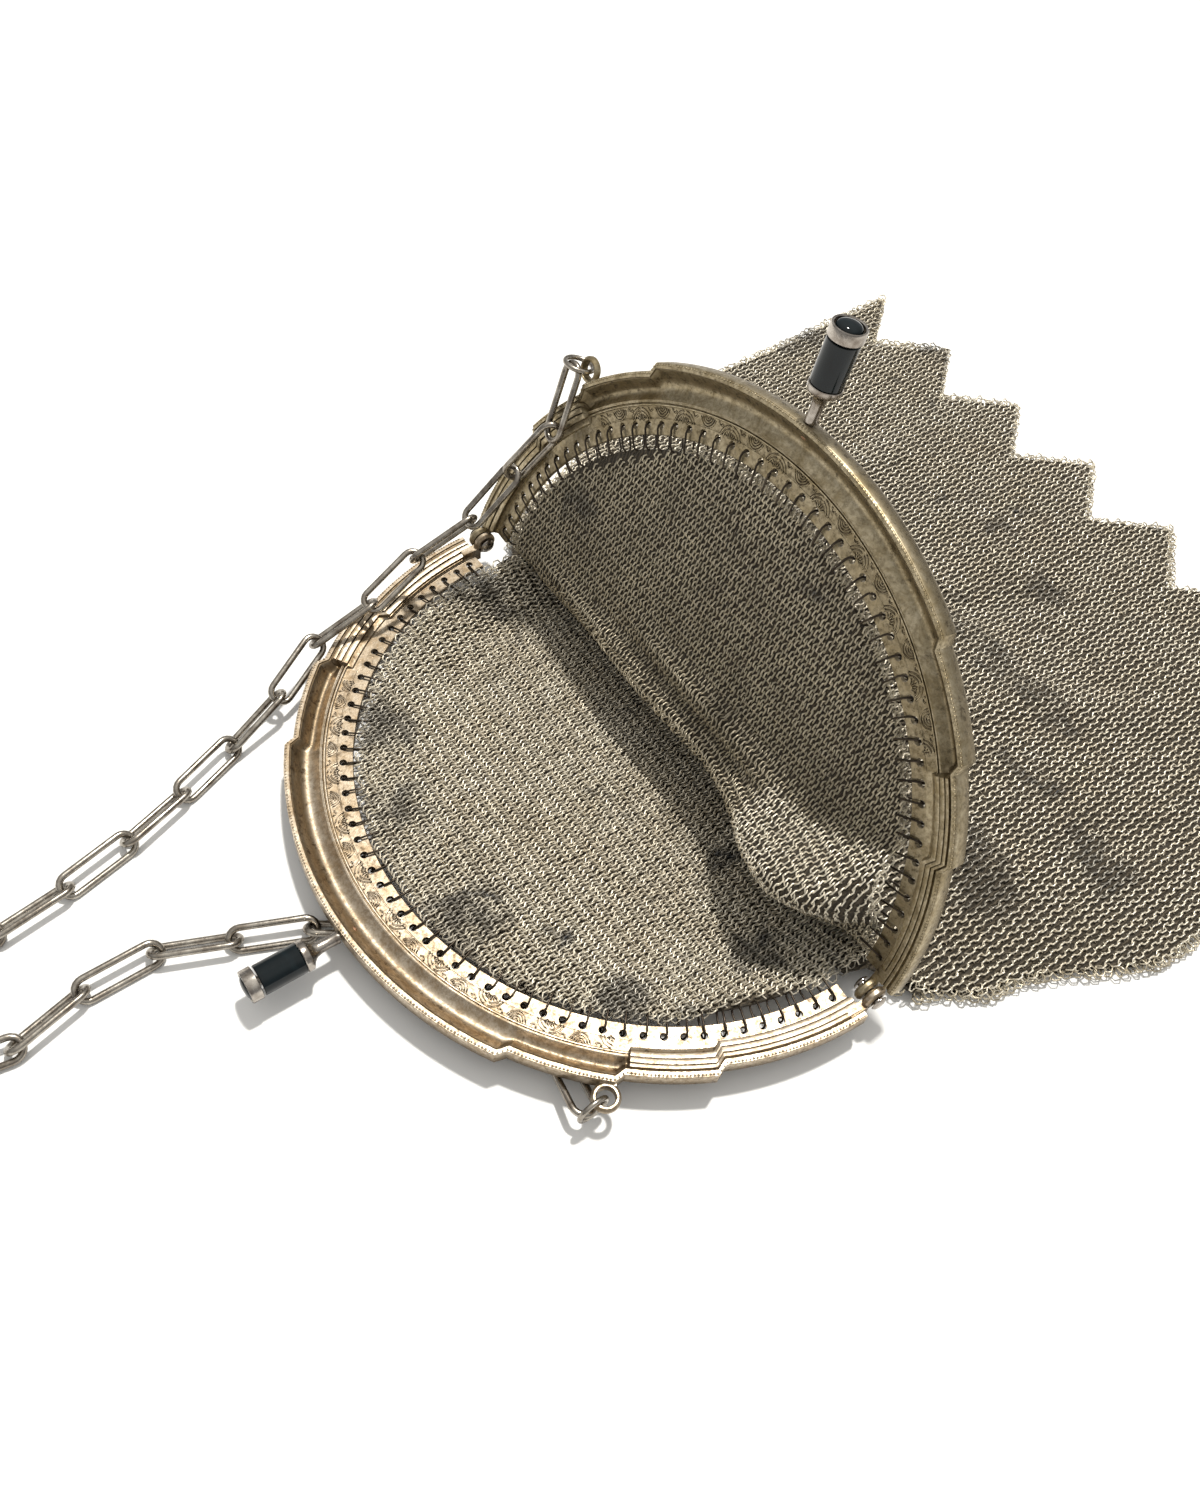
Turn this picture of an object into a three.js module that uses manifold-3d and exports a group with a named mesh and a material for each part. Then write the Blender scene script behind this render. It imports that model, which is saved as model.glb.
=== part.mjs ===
// Metal mesh purse: two half-ring jaws hinged open, a kiss-lock clasp with onyx barrels,
// a ring mesh bag that lies on a table and a carrying chain of long oval links.
// Millimetres, +X along the hinge line, +Y towards the bag's bottom edge, +Z up.

import * as THREE from 'three';
import { mergeGeometries, mergeVertices } from 'three/addons/utils/BufferGeometryUtils.js';
import Module from 'manifold-3d';

const wasm = await Module();
wasm.setup();

const rad = THREE.MathUtils.degToRad;
const v3 = (x, y, z) => new THREE.Vector3(x, y, z);
const lerp = THREE.MathUtils.lerp;
const smooth = (t) => THREE.MathUtils.smoothstep(t, 0, 1);

// Clearance between pieces that touch
const gap = 0.3;

// Jaws
const hingeSpan = 120;
const openingAngle = 108;
const jawDepth = 3.9;
const jawWall = 0.9;
const lipWidth = 1.3;
const stripInset = 5.4;
const stripDepth = 1.9;
const ridgeRise = 0.4;
const ridgeWidth = 0.5;
const bandWidth = 4.9;
const coveDepth = 2.6;
const rimDrop = 1;
const backEase = 0.2;
// Each tier of the stepped outline: how far it stands out past the hinge pins, and the
// angle from the middle of the jaw where it ends
const jawTiers = [
  { standsOut: 6.6, endAngle: 31.9 },
  { standsOut: 5.2, endAngle: 48.5 },
  { standsOut: 3.8, endAngle: 63.1 },
  { standsOut: 2.2, endAngle: 90 },
];
const stepAngle = 1.3;
const arcStep = 8;

// Row of holes that the mesh hangs from
const holeCount = 52;
const holeDiameter = 1.4;
const holeInset = 1.8;
const holeSpread = 170;

// Hinges
const hingeInset = 0.75;
const earRadius = 2.3;
const earThickness = 1.5;
const earClearance = 0.6;
const tabReach = 2.4;
const tabInset = 0.3;
const tabRelief = 0.6;
const pinRadius = 0.75;
const pinHeadRadius = 1.5;
const pinHeadThickness = 0.5;

// Chain eye, one on each jaw
const eyeAngle = 47;
const eyeTier = 1;
const eyeRadius = 2.4;
const eyeHoleRadius = 1.5;
const eyeThickness = 1.4;
const eyeDepth = 1.7;
const eyeSink = 0.3;

// Clasp knobs
const knobOffset = 3.2;
const knobDepth = 1.7;
const knobLean = { lower: 0, upper: 9 };
const shankRadius = 0.7;
const shankLength = 0.6;
const postLength = 5.6;
const postBaseRadius = 1.1;
const postTopRadius = 1.5;
const cupRadius = 2.75;
const cupLength = 1.3;
const coreRadius = 0.8;
const barrelRadius = 2.65;
const barrelLength = 7.2;
const bezelRadius = 2.85;
const bezelLength = 2;
const bezelWall = 0.45;
const bezelDepth = 1;
const cabochonRise = 0.5;
const cabochonEdge = 0.1;

// Chain
const linkLength = 15.7;
const linkWidth = 5.1;
const linkWire = 1.2;
const linkCount = 25;
const linkTilt = 40;
const jumpRingWire = 0.9;
const jumpRingRadius = 2.6;

// Mesh bag
const meshThickness = 1.2;
const meshArcAngle = 80;
const bagLength = 139.5;
const toothDepth = 15;
const toothCount = 7;
const bagFullness = 6;
const bagFullnessAtHem = 1.2;
const foldRadius = 4;
// The back sheet sags from the lower jaw down to the table: where that starts and how long
// it takes, measured along Y, and the width of the slope beside the jaws
const sagStart = -45;
const sagLength = 32;
const sagBeside = 16;
const seamMargin = 1.6;

// Derived places
const pinX = hingeSpan / 2;
const stripRadius = pinX - stripInset;
const ridgeRadius = stripRadius + bandWidth;
const linkLieHeight = (linkWidth - linkWire) * Math.sin(rad(linkTilt)) + linkWire;
const hingeHeight = jawDepth + linkLieHeight + gap;
const discRadius = stripRadius * Math.cos(rad(arcStep / 2)) - gap;
const sheetDepth = stripDepth + jawWall / 2;
const jawCut = earRadius + earClearance;

const metal = (color, roughness) => new THREE.MeshStandardMaterial({ color, roughness, metalness: 1 });
const materials = {
  jawBright: metal(0xc9b48c, 0.38),
  jawShade: metal(0x9c8a60, 0.42),
  silver: metal(0xb5aea2, 0.32),
  onyx: new THREE.MeshStandardMaterial({ color: 0x0b1016, roughness: 0.08, metalness: 0 }),
  mesh: metal(0x8f8570, 0.5),
  chain: metal(0x8b857a, 0.34),
};

// Geometry helpers

function toSolid(geometry) {
  const bare = geometry.clone();
  bare.deleteAttribute('normal');
  bare.deleteAttribute('uv');
  const merged = mergeVertices(bare, 1e-4);
  return new wasm.Manifold(new wasm.Mesh({
    numProp: 3,
    vertProperties: new Float32Array(merged.attributes.position.array),
    triVerts: new Uint32Array(merged.index.array),
  }));
}

function toGeometry(solid) {
  const mesh = solid.getMesh();
  const geometry = new THREE.BufferGeometry();
  geometry.setAttribute('position', new THREE.BufferAttribute(new Float32Array(mesh.vertProperties), 3));
  geometry.setIndex(new THREE.BufferAttribute(new Uint32Array(mesh.triVerts), 1));
  geometry.computeVertexNormals();
  return geometry;
}

function fromGrid(points, triangles) {
  const geometry = new THREE.BufferGeometry();
  geometry.setFromPoints(points);
  geometry.setIndex(triangles);
  return geometry;
}

// Sections joined into a closed sweep with flat ends
function loft(sections) {
  const size = sections[0].length;
  const triangles = [];
  for (let i = 0; i < sections.length - 1; i += 1) {
    for (let j = 0; j < size; j += 1) {
      const a = i * size + j;
      const b = i * size + ((j + 1) % size);
      triangles.push(a, a + size, b, b, a + size, b + size);
    }
  }
  const outline = sections[0].map((p) => new THREE.Vector2(p.u, p.w));
  for (const [a, b, c] of THREE.ShapeUtils.triangulateShape(outline, [])) {
    const last = (sections.length - 1) * size;
    triangles.push(a, b, c, last + a, last + c, last + b);
  }
  return fromGrid(sections.flat().map((p) => p.at), triangles);
}

// A round wire bent round a closed flat route in the XY plane
function wireLoop(route, wireRadius, sides) {
  const points = [];
  const triangles = [];
  const count = route.length;
  for (let i = 0; i < count; i += 1) {
    const before = route[(i + count - 1) % count];
    const after = route[(i + 1) % count];
    const along = after.clone().sub(before).normalize();
    const outward = v3(along.y, -along.x, 0);
    for (let k = 0; k < sides; k += 1) {
      const turn = (2 * Math.PI * k) / sides;
      const offset = outward.clone().multiplyScalar(Math.cos(turn) * wireRadius);
      points.push(route[i].clone().add(offset).add(v3(0, 0, Math.sin(turn) * wireRadius)));
      const a = i * sides + k;
      const b = i * sides + ((k + 1) % sides);
      const c = ((i + 1) % count) * sides + k;
      const d = ((i + 1) % count) * sides + ((k + 1) % sides);
      triangles.push(a, c, b, b, c, d);
    }
  }
  return fromGrid(points, triangles);
}

function cylinderAlong(axis, radius, from, to, sides) {
  const geometry = new THREE.CylinderGeometry(radius, radius, to - from, sides);
  geometry.translate(0, (from + to) / 2, 0);
  if (axis === 'x') geometry.rotateZ(-Math.PI / 2);
  if (axis === 'z') geometry.rotateX(Math.PI / 2);
  return geometry;
}

function lathe(profile, sides) {
  const outline = profile.map(([r, y]) => new THREE.Vector2(r, y));
  return new THREE.LatheGeometry(outline, sides);
}

// Jaws

function jawRadius(angle) {
  const away = Math.abs(angle);
  let radius = pinX + jawTiers[0].standsOut;
  for (let i = 1; i < jawTiers.length; i += 1) {
    const next = pinX + jawTiers[i].standsOut;
    const start = jawTiers[i - 1].endAngle - stepAngle / 2;
    radius = lerp(radius, next, THREE.MathUtils.clamp((away - start) / stepAngle, 0, 1));
  }
  return radius;
}

// The stamped channel, seen in section: radius and depth below the parting plane
function jawSection(radius) {
  const cove = radius - lipWidth;
  const rise = ridgeRadius + ridgeWidth;
  const across = (share) => lerp(cove, rise, share);
  return [
    [radius, 0],
    [cove, 0],
    [across(0.15), -coveDepth * 0.65],
    [across(0.5), -coveDepth],
    [across(0.85), -coveDepth * 0.85],
    [ridgeRadius, -stripDepth + ridgeRise],
    [ridgeRadius - ridgeWidth, -stripDepth],
    [stripRadius, -stripDepth],
    [stripRadius, -stripDepth - jawWall],
    [ridgeRadius - ridgeWidth, -stripDepth - jawWall],
    [across(0.9), -jawDepth + backEase],
    [across(0.1), -jawDepth],
    [radius, -jawDepth + rimDrop],
  ];
}

const jawPoint = (radius, angle, height) => v3(
  radius * Math.sin(rad(angle)),
  -radius * Math.cos(rad(angle)),
  height,
);

function jawAngles() {
  const end = 90 - THREE.MathUtils.radToDeg(Math.asin(jawCut / pinX));
  const half = [0];
  for (let angle = arcStep; angle < end - arcStep / 2; angle += arcStep) half.push(angle);
  half.push(end);
  for (const { endAngle } of jawTiers.slice(0, -1)) {
    half.push(endAngle - stepAngle / 2, endAngle + stepAngle / 2);
  }
  const nearStep = (angle) => jawTiers.some(({ endAngle }) => {
    const away = Math.abs(angle - endAngle);
    return away > stepAngle * 0.51 && away < stepAngle * 1.8;
  });
  const kept = half.filter((angle) => angle === end || !nearStep(angle)).sort((a, b) => a - b);
  return [...kept.slice(1).reverse().map((angle) => -angle), ...kept];
}

function jawHoles() {
  const holes = [];
  for (let i = 0; i < holeCount; i += 1) {
    const angle = holeSpread * (i / (holeCount - 1) - 0.5);
    const hole = cylinderAlong('z', holeDiameter / 2, -stripDepth - jawWall - 1, -stripDepth + 1, 5);
    const place = jawPoint(stripRadius + holeInset, angle, 0);
    hole.rotateZ(rad(angle));
    hole.translate(place.x, place.y, 0);
    holes.push(hole);
  }
  return toSolid(mergeGeometries(holes));
}

// side is +1 or -1 along X; slot 0 is the inner ear of the hinge and 1 the outer one
function hingeEar(side, slot) {
  const inner = pinX - hingeInset + (slot ? gap / 2 : -gap / 2 - earThickness);
  const outer = inner + earThickness;
  const from = Math.min(side * inner, side * outer);
  const disc = cylinderAlong('x', earRadius, from, from + earThickness, 12);
  const reach = jawCut + tabReach;
  const depth = jawDepth - tabInset - tabRelief;
  const tab = new THREE.BoxGeometry(earThickness, reach, depth);
  tab.translate(from + earThickness / 2, -reach / 2, -depth / 2 - tabInset);
  const bore = cylinderAlong('x', pinRadius + gap, from - 1, from + earThickness + 1, 8);
  return toSolid(disc).add(toSolid(tab)).subtract(toSolid(bore));
}

const eyeRootRadius = pinX + jawTiers[eyeTier].standsOut;
const eyeCentreRadius = eyeRootRadius + eyeRadius - eyeSink;

function chainEye() {
  const ring = new THREE.Shape().absarc(0, 0, eyeRadius, 0, Math.PI * 2);
  ring.holes.push(new THREE.Path().absarc(0, 0, eyeHoleRadius, 0, Math.PI * 2, true));
  const eye = new THREE.ExtrudeGeometry(ring, { depth: eyeThickness, bevelEnabled: false, curveSegments: 5 });
  eye.translate(0, -eyeCentreRadius, -eyeDepth - eyeThickness / 2);
  const neckStart = eyeRootRadius - lipWidth * 0.6;
  const neckLength = eyeCentreRadius - (eyeRadius + eyeHoleRadius) / 2 - neckStart;
  const neck = new THREE.BoxGeometry(eyeRadius * 1.1, neckLength, eyeThickness);
  neck.translate(0, -neckStart - neckLength / 2, -eyeDepth);
  return toSolid(eye).add(toSolid(neck)).rotate(0, 0, eyeAngle);
}

const knobFoot = pinX + jawTiers[0].standsOut;

function jawGeometry() {
  const sections = jawAngles().map((angle) => jawSection(jawRadius(angle)).map(([radius, height]) => ({
    u: radius,
    w: height,
    at: jawPoint(radius, angle, height),
  })));
  const socketDepth = shankLength + gap;
  const socket = cylinderAlong('y', shankRadius + gap, -knobFoot - 1, -knobFoot + socketDepth, 10);
  socket.translate(knobOffset, 0, -knobDepth);
  const jaw = toSolid(loft(sections))
    .add(hingeEar(1, 1))
    .add(hingeEar(-1, 0))
    .add(chainEye())
    .subtract(jawHoles())
    .subtract(toSolid(socket));
  return toGeometry(jaw);
}

function hingePinGeometry(side) {
  const inner = pinX - hingeInset - gap * 1.5 - earThickness;
  const outer = pinX - hingeInset + gap * 1.5 + earThickness;
  const profile = [
    [0, inner - pinHeadThickness],
    [pinHeadRadius * 0.8, inner - pinHeadThickness],
    [pinHeadRadius, inner],
    [pinRadius, inner],
    [pinRadius, outer],
    [pinHeadRadius, outer],
    [pinHeadRadius * 0.8, outer + pinHeadThickness],
    [0, outer + pinHeadThickness],
  ];
  const pin = lathe(profile, 8);
  pin.rotateZ(side > 0 ? -Math.PI / 2 : Math.PI / 2);
  return pin;
}

// Clasp knobs, built along +Y from the rim of the jaw

const cupEnd = postLength + cupLength;
const bezelStart = cupEnd + barrelLength + gap * 2;
const knobEnd = bezelStart + bezelLength;

function claspPostGeometry() {
  return lathe([
    [0, -shankLength],
    [shankRadius, -shankLength],
    [shankRadius, gap],
    [postBaseRadius, gap],
    [postBaseRadius * 0.9, postLength * 0.45],
    [postTopRadius, postLength * 0.85],
    [cupRadius * 0.8, postLength],
    [cupRadius, postLength + cupLength * 0.4],
    [cupRadius, cupEnd],
    [coreRadius, cupEnd],
    [coreRadius, bezelStart],
    [bezelRadius, bezelStart],
    [bezelRadius, knobEnd],
    [bezelRadius - bezelWall, knobEnd],
    [bezelRadius - bezelWall, knobEnd - bezelDepth],
    [0, knobEnd - bezelDepth],
  ], 12);
}

function onyxBarrelGeometry() {
  const bore = coreRadius + gap;
  return lathe([
    [bore, cupEnd + gap],
    [barrelRadius, cupEnd + gap],
    [barrelRadius, bezelStart - gap],
    [bore, bezelStart - gap],
    [bore, cupEnd + gap],
  ], 12);
}

function onyxCabochonGeometry() {
  const radius = bezelRadius - bezelWall - gap;
  const seat = knobEnd - bezelDepth + gap;
  return lathe([
    [0, seat],
    [radius, seat],
    [radius, knobEnd - cabochonEdge],
    [radius * 0.6, knobEnd + cabochonRise * 0.75],
    [0, knobEnd + cabochonRise],
  ], 12);
}

// Mesh bag: a back sheet and a front sheet over one net of columns and rows

// Half width of the bag at a distance past the hinge line, as shares of the hinge half span
// and of the bag length
const bagSides = [
  { along: 0, width: 0.895 },
  { along: 0.036, width: 0.925 },
  { along: 0.072, width: 1.07 },
  { along: 0.16, width: 1.185 },
  { along: 0.4, width: 1.395 },
  { along: 0.6, width: 1.385 },
  { along: 1, width: 1.42 },
];
// Soft rises and dents of the front sheet, as shares of the bag length (along, reach) and of
// the half width (across, spread), with their heights as shares of the fullness
const frontFolds = [
  { across: 0.55, along: 0.2, spread: 0.5, reach: 0.16, rise: 0.22 },
  { across: -0.45, along: 0.5, spread: 0.35, reach: 0.1, rise: 0.16 },
  { across: 0.1, along: 0.62, spread: 0.6, reach: 0.08, rise: -0.14 },
  { across: -0.1, along: 0.36, spread: 0.5, reach: 0.07, rise: -0.16 },
  { across: 0.6, along: 0.78, spread: 0.3, reach: 0.09, rise: 0.14 },
];
// Pleats that gather above the fold: distance up the sheet, half height and how far each
// stands out, as shares of the fold radius, over a stretch of the hinge half span
const pleats = [
  { up: 0.2, height: 0.9, out: 0.75, centre: -0.1, reach: 0.75 },
  { up: 2.0, height: 0.9, out: 0.55, centre: 0.15, reach: 0.6 },
  { up: 0.6, height: 1.7, out: 1.1, centre: 0.6, reach: 0.28 },
];

const discRows = [1, 0.62, 0.36, 0.18, 0];
const foldRows = [0.5, 1];
const bodyRows = [0.03, 0.11, 0.22, 0.36, 0.52, 0.7, 0.87, 1];
const columnCount = toothCount * 4;

const bump = (t) => (Math.abs(t) < 1 ? (1 - t * t) ** 2 : 0);
const up = { y: -Math.cos(rad(openingAngle)), z: Math.sin(rad(openingAngle)) };
const inward = { y: -up.z, z: up.y };
const floorLevel = -hingeHeight + meshThickness / 2;

function sideAt(share) {
  for (let i = 1; i < bagSides.length; i += 1) {
    const low = bagSides[i - 1];
    const high = bagSides[i];
    if (share <= high.along) {
      return pinX * lerp(low.width, high.width, smooth((share - low.along) / (high.along - low.along)));
    }
  }
  return pinX * bagSides.at(-1).width;
}

const discX = (column) => discRadius * Math.sin(rad(meshArcAngle * column));

function columnX(column, share) {
  const half = sideAt(share);
  const mouthShare = discX(column) / discX(1);
  return half * lerp(mouthShare, column, smooth(share / 0.25));
}

// Lower end of a column: the toothed hem
function hemAt(column) {
  const phase = ((column + 1) / 2) * toothCount;
  const toNotch = 1 - Math.abs((phase % 1) * 2 - 1);
  return bagLength - toothDepth * toNotch;
}

// Distance of a point of the sheet from the jaw's strip, which carries it
function backHeight(x, y) {
  const held = y < 0 ? discRadius - Math.hypot(x, y) : Math.max(discRadius - Math.abs(x), y);
  const along = smooth((y - sagStart) / sagLength);
  const inside = smooth(held / sagBeside);
  return lerp(-sheetDepth, floorLevel, along * inside);
}

function fullness(column, share) {
  const crown = Math.max(0, 1 - Math.abs(column) ** 3.2);
  let height = lerp(bagFullness, bagFullnessAtHem, smooth((share - 0.2) / 0.5)) * crown;
  for (const fold of frontFolds) {
    const reach = bump((column - fold.across) / fold.spread) * bump((share - fold.along) / fold.reach);
    height += bagFullness * fold.rise * reach * crown * smooth((0.86 - share) / 0.1);
  }
  return Math.max(height, bagFullnessAtHem * 0.35);
}

// Front sheet of the disc: x, how far up the upper jaw it lies, and the layer's offset
function upperDiscPoint(x, rise, offset) {
  let out = offset - sheetDepth;
  for (const pleat of pleats) {
    const level = bump(((rise - foldTop) / foldRadius - pleat.up) / pleat.height);
    out += foldRadius * pleat.out * level * bump((x / pinX - pleat.centre) / pleat.reach);
  }
  return v3(x, up.y * rise + inward.y * out, up.z * rise + inward.z * out);
}

// Front sheet past the fold: it lies above the back sheet by the bag's fullness
function frontHeight(column, y) {
  const share = Math.max(y, 0) / bagLength;
  return backHeight(columnX(column, share), y) + meshThickness + fullness(column, share);
}

// The front sheet turns under the upper disc round foldCentre, from the disc onto the bag
const foldLevel = floorLevel + meshThickness + bagFullness;
const foldTop = (foldLevel + foldRadius + inward.z * (sheetDepth + foldRadius)) / up.z;
const foldCentre = {
  y: up.y * foldTop - inward.y * (sheetDepth + foldRadius),
  z: up.z * foldTop - inward.z * (sheetDepth + foldRadius),
};

function foldPoint(column, turn, offset) {
  const angle = rad(270 - openingAngle * (1 - turn));
  const radius = foldRadius + offset;
  const drop = (foldLevel - frontHeight(column, foldCentre.y)) * turn;
  const x = columnX(column, (foldCentre.y * turn) / bagLength);
  return v3(x, foldCentre.y + radius * Math.cos(angle), foldCentre.z + radius * Math.sin(angle) - drop);
}

// Layers from the table up: back outside, back inside, front inside, front outside
function bagPoint(layer, column, row) {
  const isInner = layer === 1 || layer === 2;
  const half = meshThickness / 2;
  const chord = Math.sqrt(discRadius ** 2 - discX(column) ** 2);
  if (row < discRows.length) {
    const x = discX(column);
    if (layer >= 2) {
      return upperDiscPoint(x, lerp(foldTop, chord, discRows[row]), isInner ? half : -half);
    }
    const y = -chord * discRows[row];
    return v3(x, y, backHeight(x, y) + (isInner ? half : -half));
  }
  const foldRow = row - discRows.length;
  if (foldRow < foldRows.length) {
    const turn = foldRows[foldRow];
    if (layer >= 2) return foldPoint(column, turn, isInner ? half : -half);
    const y = foldCentre.y * turn;
    const x = columnX(column, y / bagLength);
    return v3(x, y, backHeight(x, y) + (isInner ? half : -half));
  }
  const down = bodyRows[foldRow - foldRows.length];
  const end = isInner ? bagLength - toothDepth - seamMargin : hemAt(column);
  const y = lerp(foldCentre.y, end, down);
  const share = y / bagLength;
  const inset = isInner ? 1 - meshThickness / (pinX * 1.2) : 1;
  const x = columnX(column * inset, share);
  if (layer < 2) return v3(x, y, backHeight(x, y) + (isInner ? half : -half));
  return v3(x, y, frontHeight(column * inset, y) + (isInner ? -half : half));
}

function meshBagGeometry() {
  const rowCount = discRows.length + foldRows.length + bodyRows.length;
  const joinRow = discRows.length + foldRows.length;
  const lastRow = rowCount - 1;
  const perRow = columnCount + 1;
  const points = [];
  for (let layer = 0; layer < 4; layer += 1) {
    for (let row = 0; row < rowCount; row += 1) {
      for (let i = 0; i < perRow; i += 1) points.push(bagPoint(layer, (2 * i) / columnCount - 1, row));
    }
  }
  const at = (layer, i, row) => (layer * rowCount + row) * perRow + i;
  const triangles = [];
  const quad = (a, b, c, d, turned = false) => {
    if (turned) triangles.push(a, c, b, a, d, c);
    else triangles.push(a, b, c, a, c, d);
  };
  for (let layer = 0; layer < 4; layer += 1) {
    for (let row = 0; row < lastRow; row += 1) {
      for (let i = 0; i < columnCount; i += 1) {
        const turned = layer % 2 === 1;
        quad(at(layer, i, row), at(layer, i, row + 1), at(layer, i + 1, row + 1), at(layer, i + 1, row), turned);
      }
    }
  }
  for (let i = 0; i < columnCount; i += 1) {
    quad(at(0, i, lastRow), at(3, i, lastRow), at(3, i + 1, lastRow), at(0, i + 1, lastRow));
    quad(at(1, i, lastRow), at(1, i + 1, lastRow), at(2, i + 1, lastRow), at(2, i, lastRow));
    for (const low of [0, 2]) quad(at(low, i, 0), at(low, i + 1, 0), at(low + 1, i + 1, 0), at(low + 1, i, 0));
  }
  for (const i of [0, columnCount]) {
    const turned = i === 0;
    for (let row = 0; row < joinRow; row += 1) {
      for (const low of [0, 2]) {
        quad(at(low, i, row), at(low, i, row + 1), at(low + 1, i, row + 1), at(low + 1, i, row), turned);
      }
    }
    for (let row = joinRow; row < lastRow; row += 1) {
      quad(at(0, i, row), at(0, i, row + 1), at(3, i, row + 1), at(3, i, row), turned);
      quad(at(1, i, row), at(2, i, row), at(2, i, row + 1), at(1, i, row + 1), turned);
    }
    quad(at(0, i, joinRow), at(3, i, joinRow), at(2, i, joinRow), at(1, i, joinRow), turned);
  }
  return fromGrid(points, triangles);
}

// Chain

function linkGeometry() {
  const bend = (linkWidth - linkWire) / 2;
  const straight = (linkLength - linkWidth) / 2;
  const route = [];
  for (const end of [1, -1]) {
    for (let k = 0; k <= 5; k += 1) {
      const turn = -Math.PI / 2 + (Math.PI * k) / 5;
      route.push(v3(end * (straight + bend * Math.cos(turn)), end * bend * Math.sin(turn), 0));
    }
  }
  return wireLoop(route, linkWire / 2, 5);
}

// The route of the chain from the upper jaw's ring to the lower one's, in the hinge frame,
// with the height above where a lying chain is and the roll of the links
const chainRoute = [
  { x: -49.5, y: 9.1, above: 38.7, roll: 65 },
  { x: -52.9, y: 2.7, above: 28.2, roll: 36 },
  { x: -53.9, y: -6.1, above: 19.2, roll: 18 },
  { x: -54.7, y: -17.7, above: 14.4, roll: 30 },
  { x: -52.3, y: -29.1, above: 10.2, roll: 0 },
  { x: -52.2, y: -41, above: 6.3, roll: 0 },
  { x: -46.9, y: -51.9, above: 3.2, roll: 0 },
  { x: -43.2, y: -63.4, above: 0, roll: 0 },
  { x: -34.3, y: -86.8, above: 0, roll: 0 },
  { x: -29.2, y: -111.3, above: 0, roll: 0 },
  { x: -29.7, y: -123.9, above: 0, roll: -7 },
  { x: -24.1, y: -133.2, above: 0, roll: -11 },
  { x: -8.6, y: -125.8, above: 0, roll: -15 },
  { x: -9.8, y: -113, above: 0, roll: -6 },
  { x: -13.1, y: -99.5, above: 0, roll: 0 },
  { x: -11.6, y: -89.1, above: 0, roll: 0 },
  { x: -6.2, y: -77.8, above: 0, roll: 0 },
  { x: -1.3, y: -66.3, above: 0, roll: 0 },
  { x: 6.2, y: -56.3, above: 0, roll: 0 },
  { x: 15.8, y: -48.3, above: 0, roll: 0 },
  { x: 27.0, y: -44.9, above: 0, roll: -17 },
  { x: 36.8, y: -46.9, above: 0, roll: 23 },
];

// Where each jump ring hangs round its eye, and where the chain's last link goes through it,
// in the jaw's own frame: around is the angle round the eye from its outermost point
const jumpRings = {
  lower: { around: -44, out: 0.41, height: -1.09, hookOut: 0.86, hookHeight: -0.83 },
  upper: { around: 46, out: 0.03, height: 1.11, hookOut: 0.27, hookHeight: 0.8 },
};

function jumpRingPlace(ring) {
  const outward = v3(Math.sin(rad(eyeAngle)), -Math.cos(rad(eyeAngle)), 0);
  const tangent = v3(Math.cos(rad(eyeAngle)), Math.sin(rad(eyeAngle)), 0);
  const away = outward.clone().multiplyScalar(Math.cos(rad(ring.around)))
    .addScaledVector(tangent, Math.sin(rad(ring.around)));
  const rim = outward.clone().multiplyScalar(eyeCentreRadius)
    .addScaledVector(away, (eyeRadius + eyeHoleRadius) / 2)
    .setZ(-eyeDepth);
  const centre = rim.clone().addScaledVector(away, ring.out).add(v3(0, 0, ring.height));
  const hook = centre.clone().addScaledVector(away, ring.hookOut).add(v3(0, 0, ring.hookHeight));
  return { centre, hook, away };
}

function chainJoints(startHook, endHook) {
  const lie = -hingeHeight + linkLieHeight / 2;
  const points = chainRoute.map((p) => v3(p.x, p.y, lie + p.above));
  const curve = new THREE.CatmullRomCurve3([startHook, ...points, endHook], false, 'centripetal');
  const rolls = [chainRoute[0].roll, ...chainRoute.map((p) => p.roll), chainRoute.at(-1).roll];
  const joints = [];
  for (let i = 0; i <= linkCount; i += 1) {
    const share = curve.getUtoTmapping(i / linkCount);
    const slot = Math.min(Math.floor(share * (rolls.length - 1)), rolls.length - 2);
    const roll = lerp(rolls[slot], rolls[slot + 1], share * (rolls.length - 1) - slot);
    joints.push({ at: curve.getPoint(share), roll });
  }
  return joints;
}

// Assembly

const purse = new THREE.Group();
const lowerJaw = new THREE.Group();
const upperJaw = new THREE.Group();
upperJaw.rotation.set(-rad(openingAngle), Math.PI, 0, 'XYZ');
purse.add(lowerJaw, upperJaw);

function add(parent, name, geometry, material) {
  const mesh = new THREE.Mesh(geometry, material);
  mesh.name = name;
  parent.add(mesh);
  return mesh;
}

for (const [side, jaw] of [['lower', lowerJaw], ['upper', upperJaw]]) {
  add(jaw, `jaw_${side}`, jawGeometry(), side === 'lower' ? materials.jawBright : materials.jawShade);
  const knob = new THREE.Group();
  knob.position.set(knobOffset, -knobFoot, -knobDepth);
  knob.rotation.set(Math.PI - rad(knobLean[side]), 0, 0);
  jaw.add(knob);
  add(knob, `clasp_post_${side}`, claspPostGeometry(), materials.silver);
  add(knob, `onyx_barrel_${side}`, onyxBarrelGeometry(), materials.onyx);
  add(knob, `onyx_cabochon_${side}`, onyxCabochonGeometry(), materials.onyx);
}

add(purse, 'hinge_pin_a', hingePinGeometry(-1), materials.silver);
add(purse, 'hinge_pin_b', hingePinGeometry(1), materials.silver);
add(purse, 'mesh_bag', meshBagGeometry(), materials.mesh);

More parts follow.
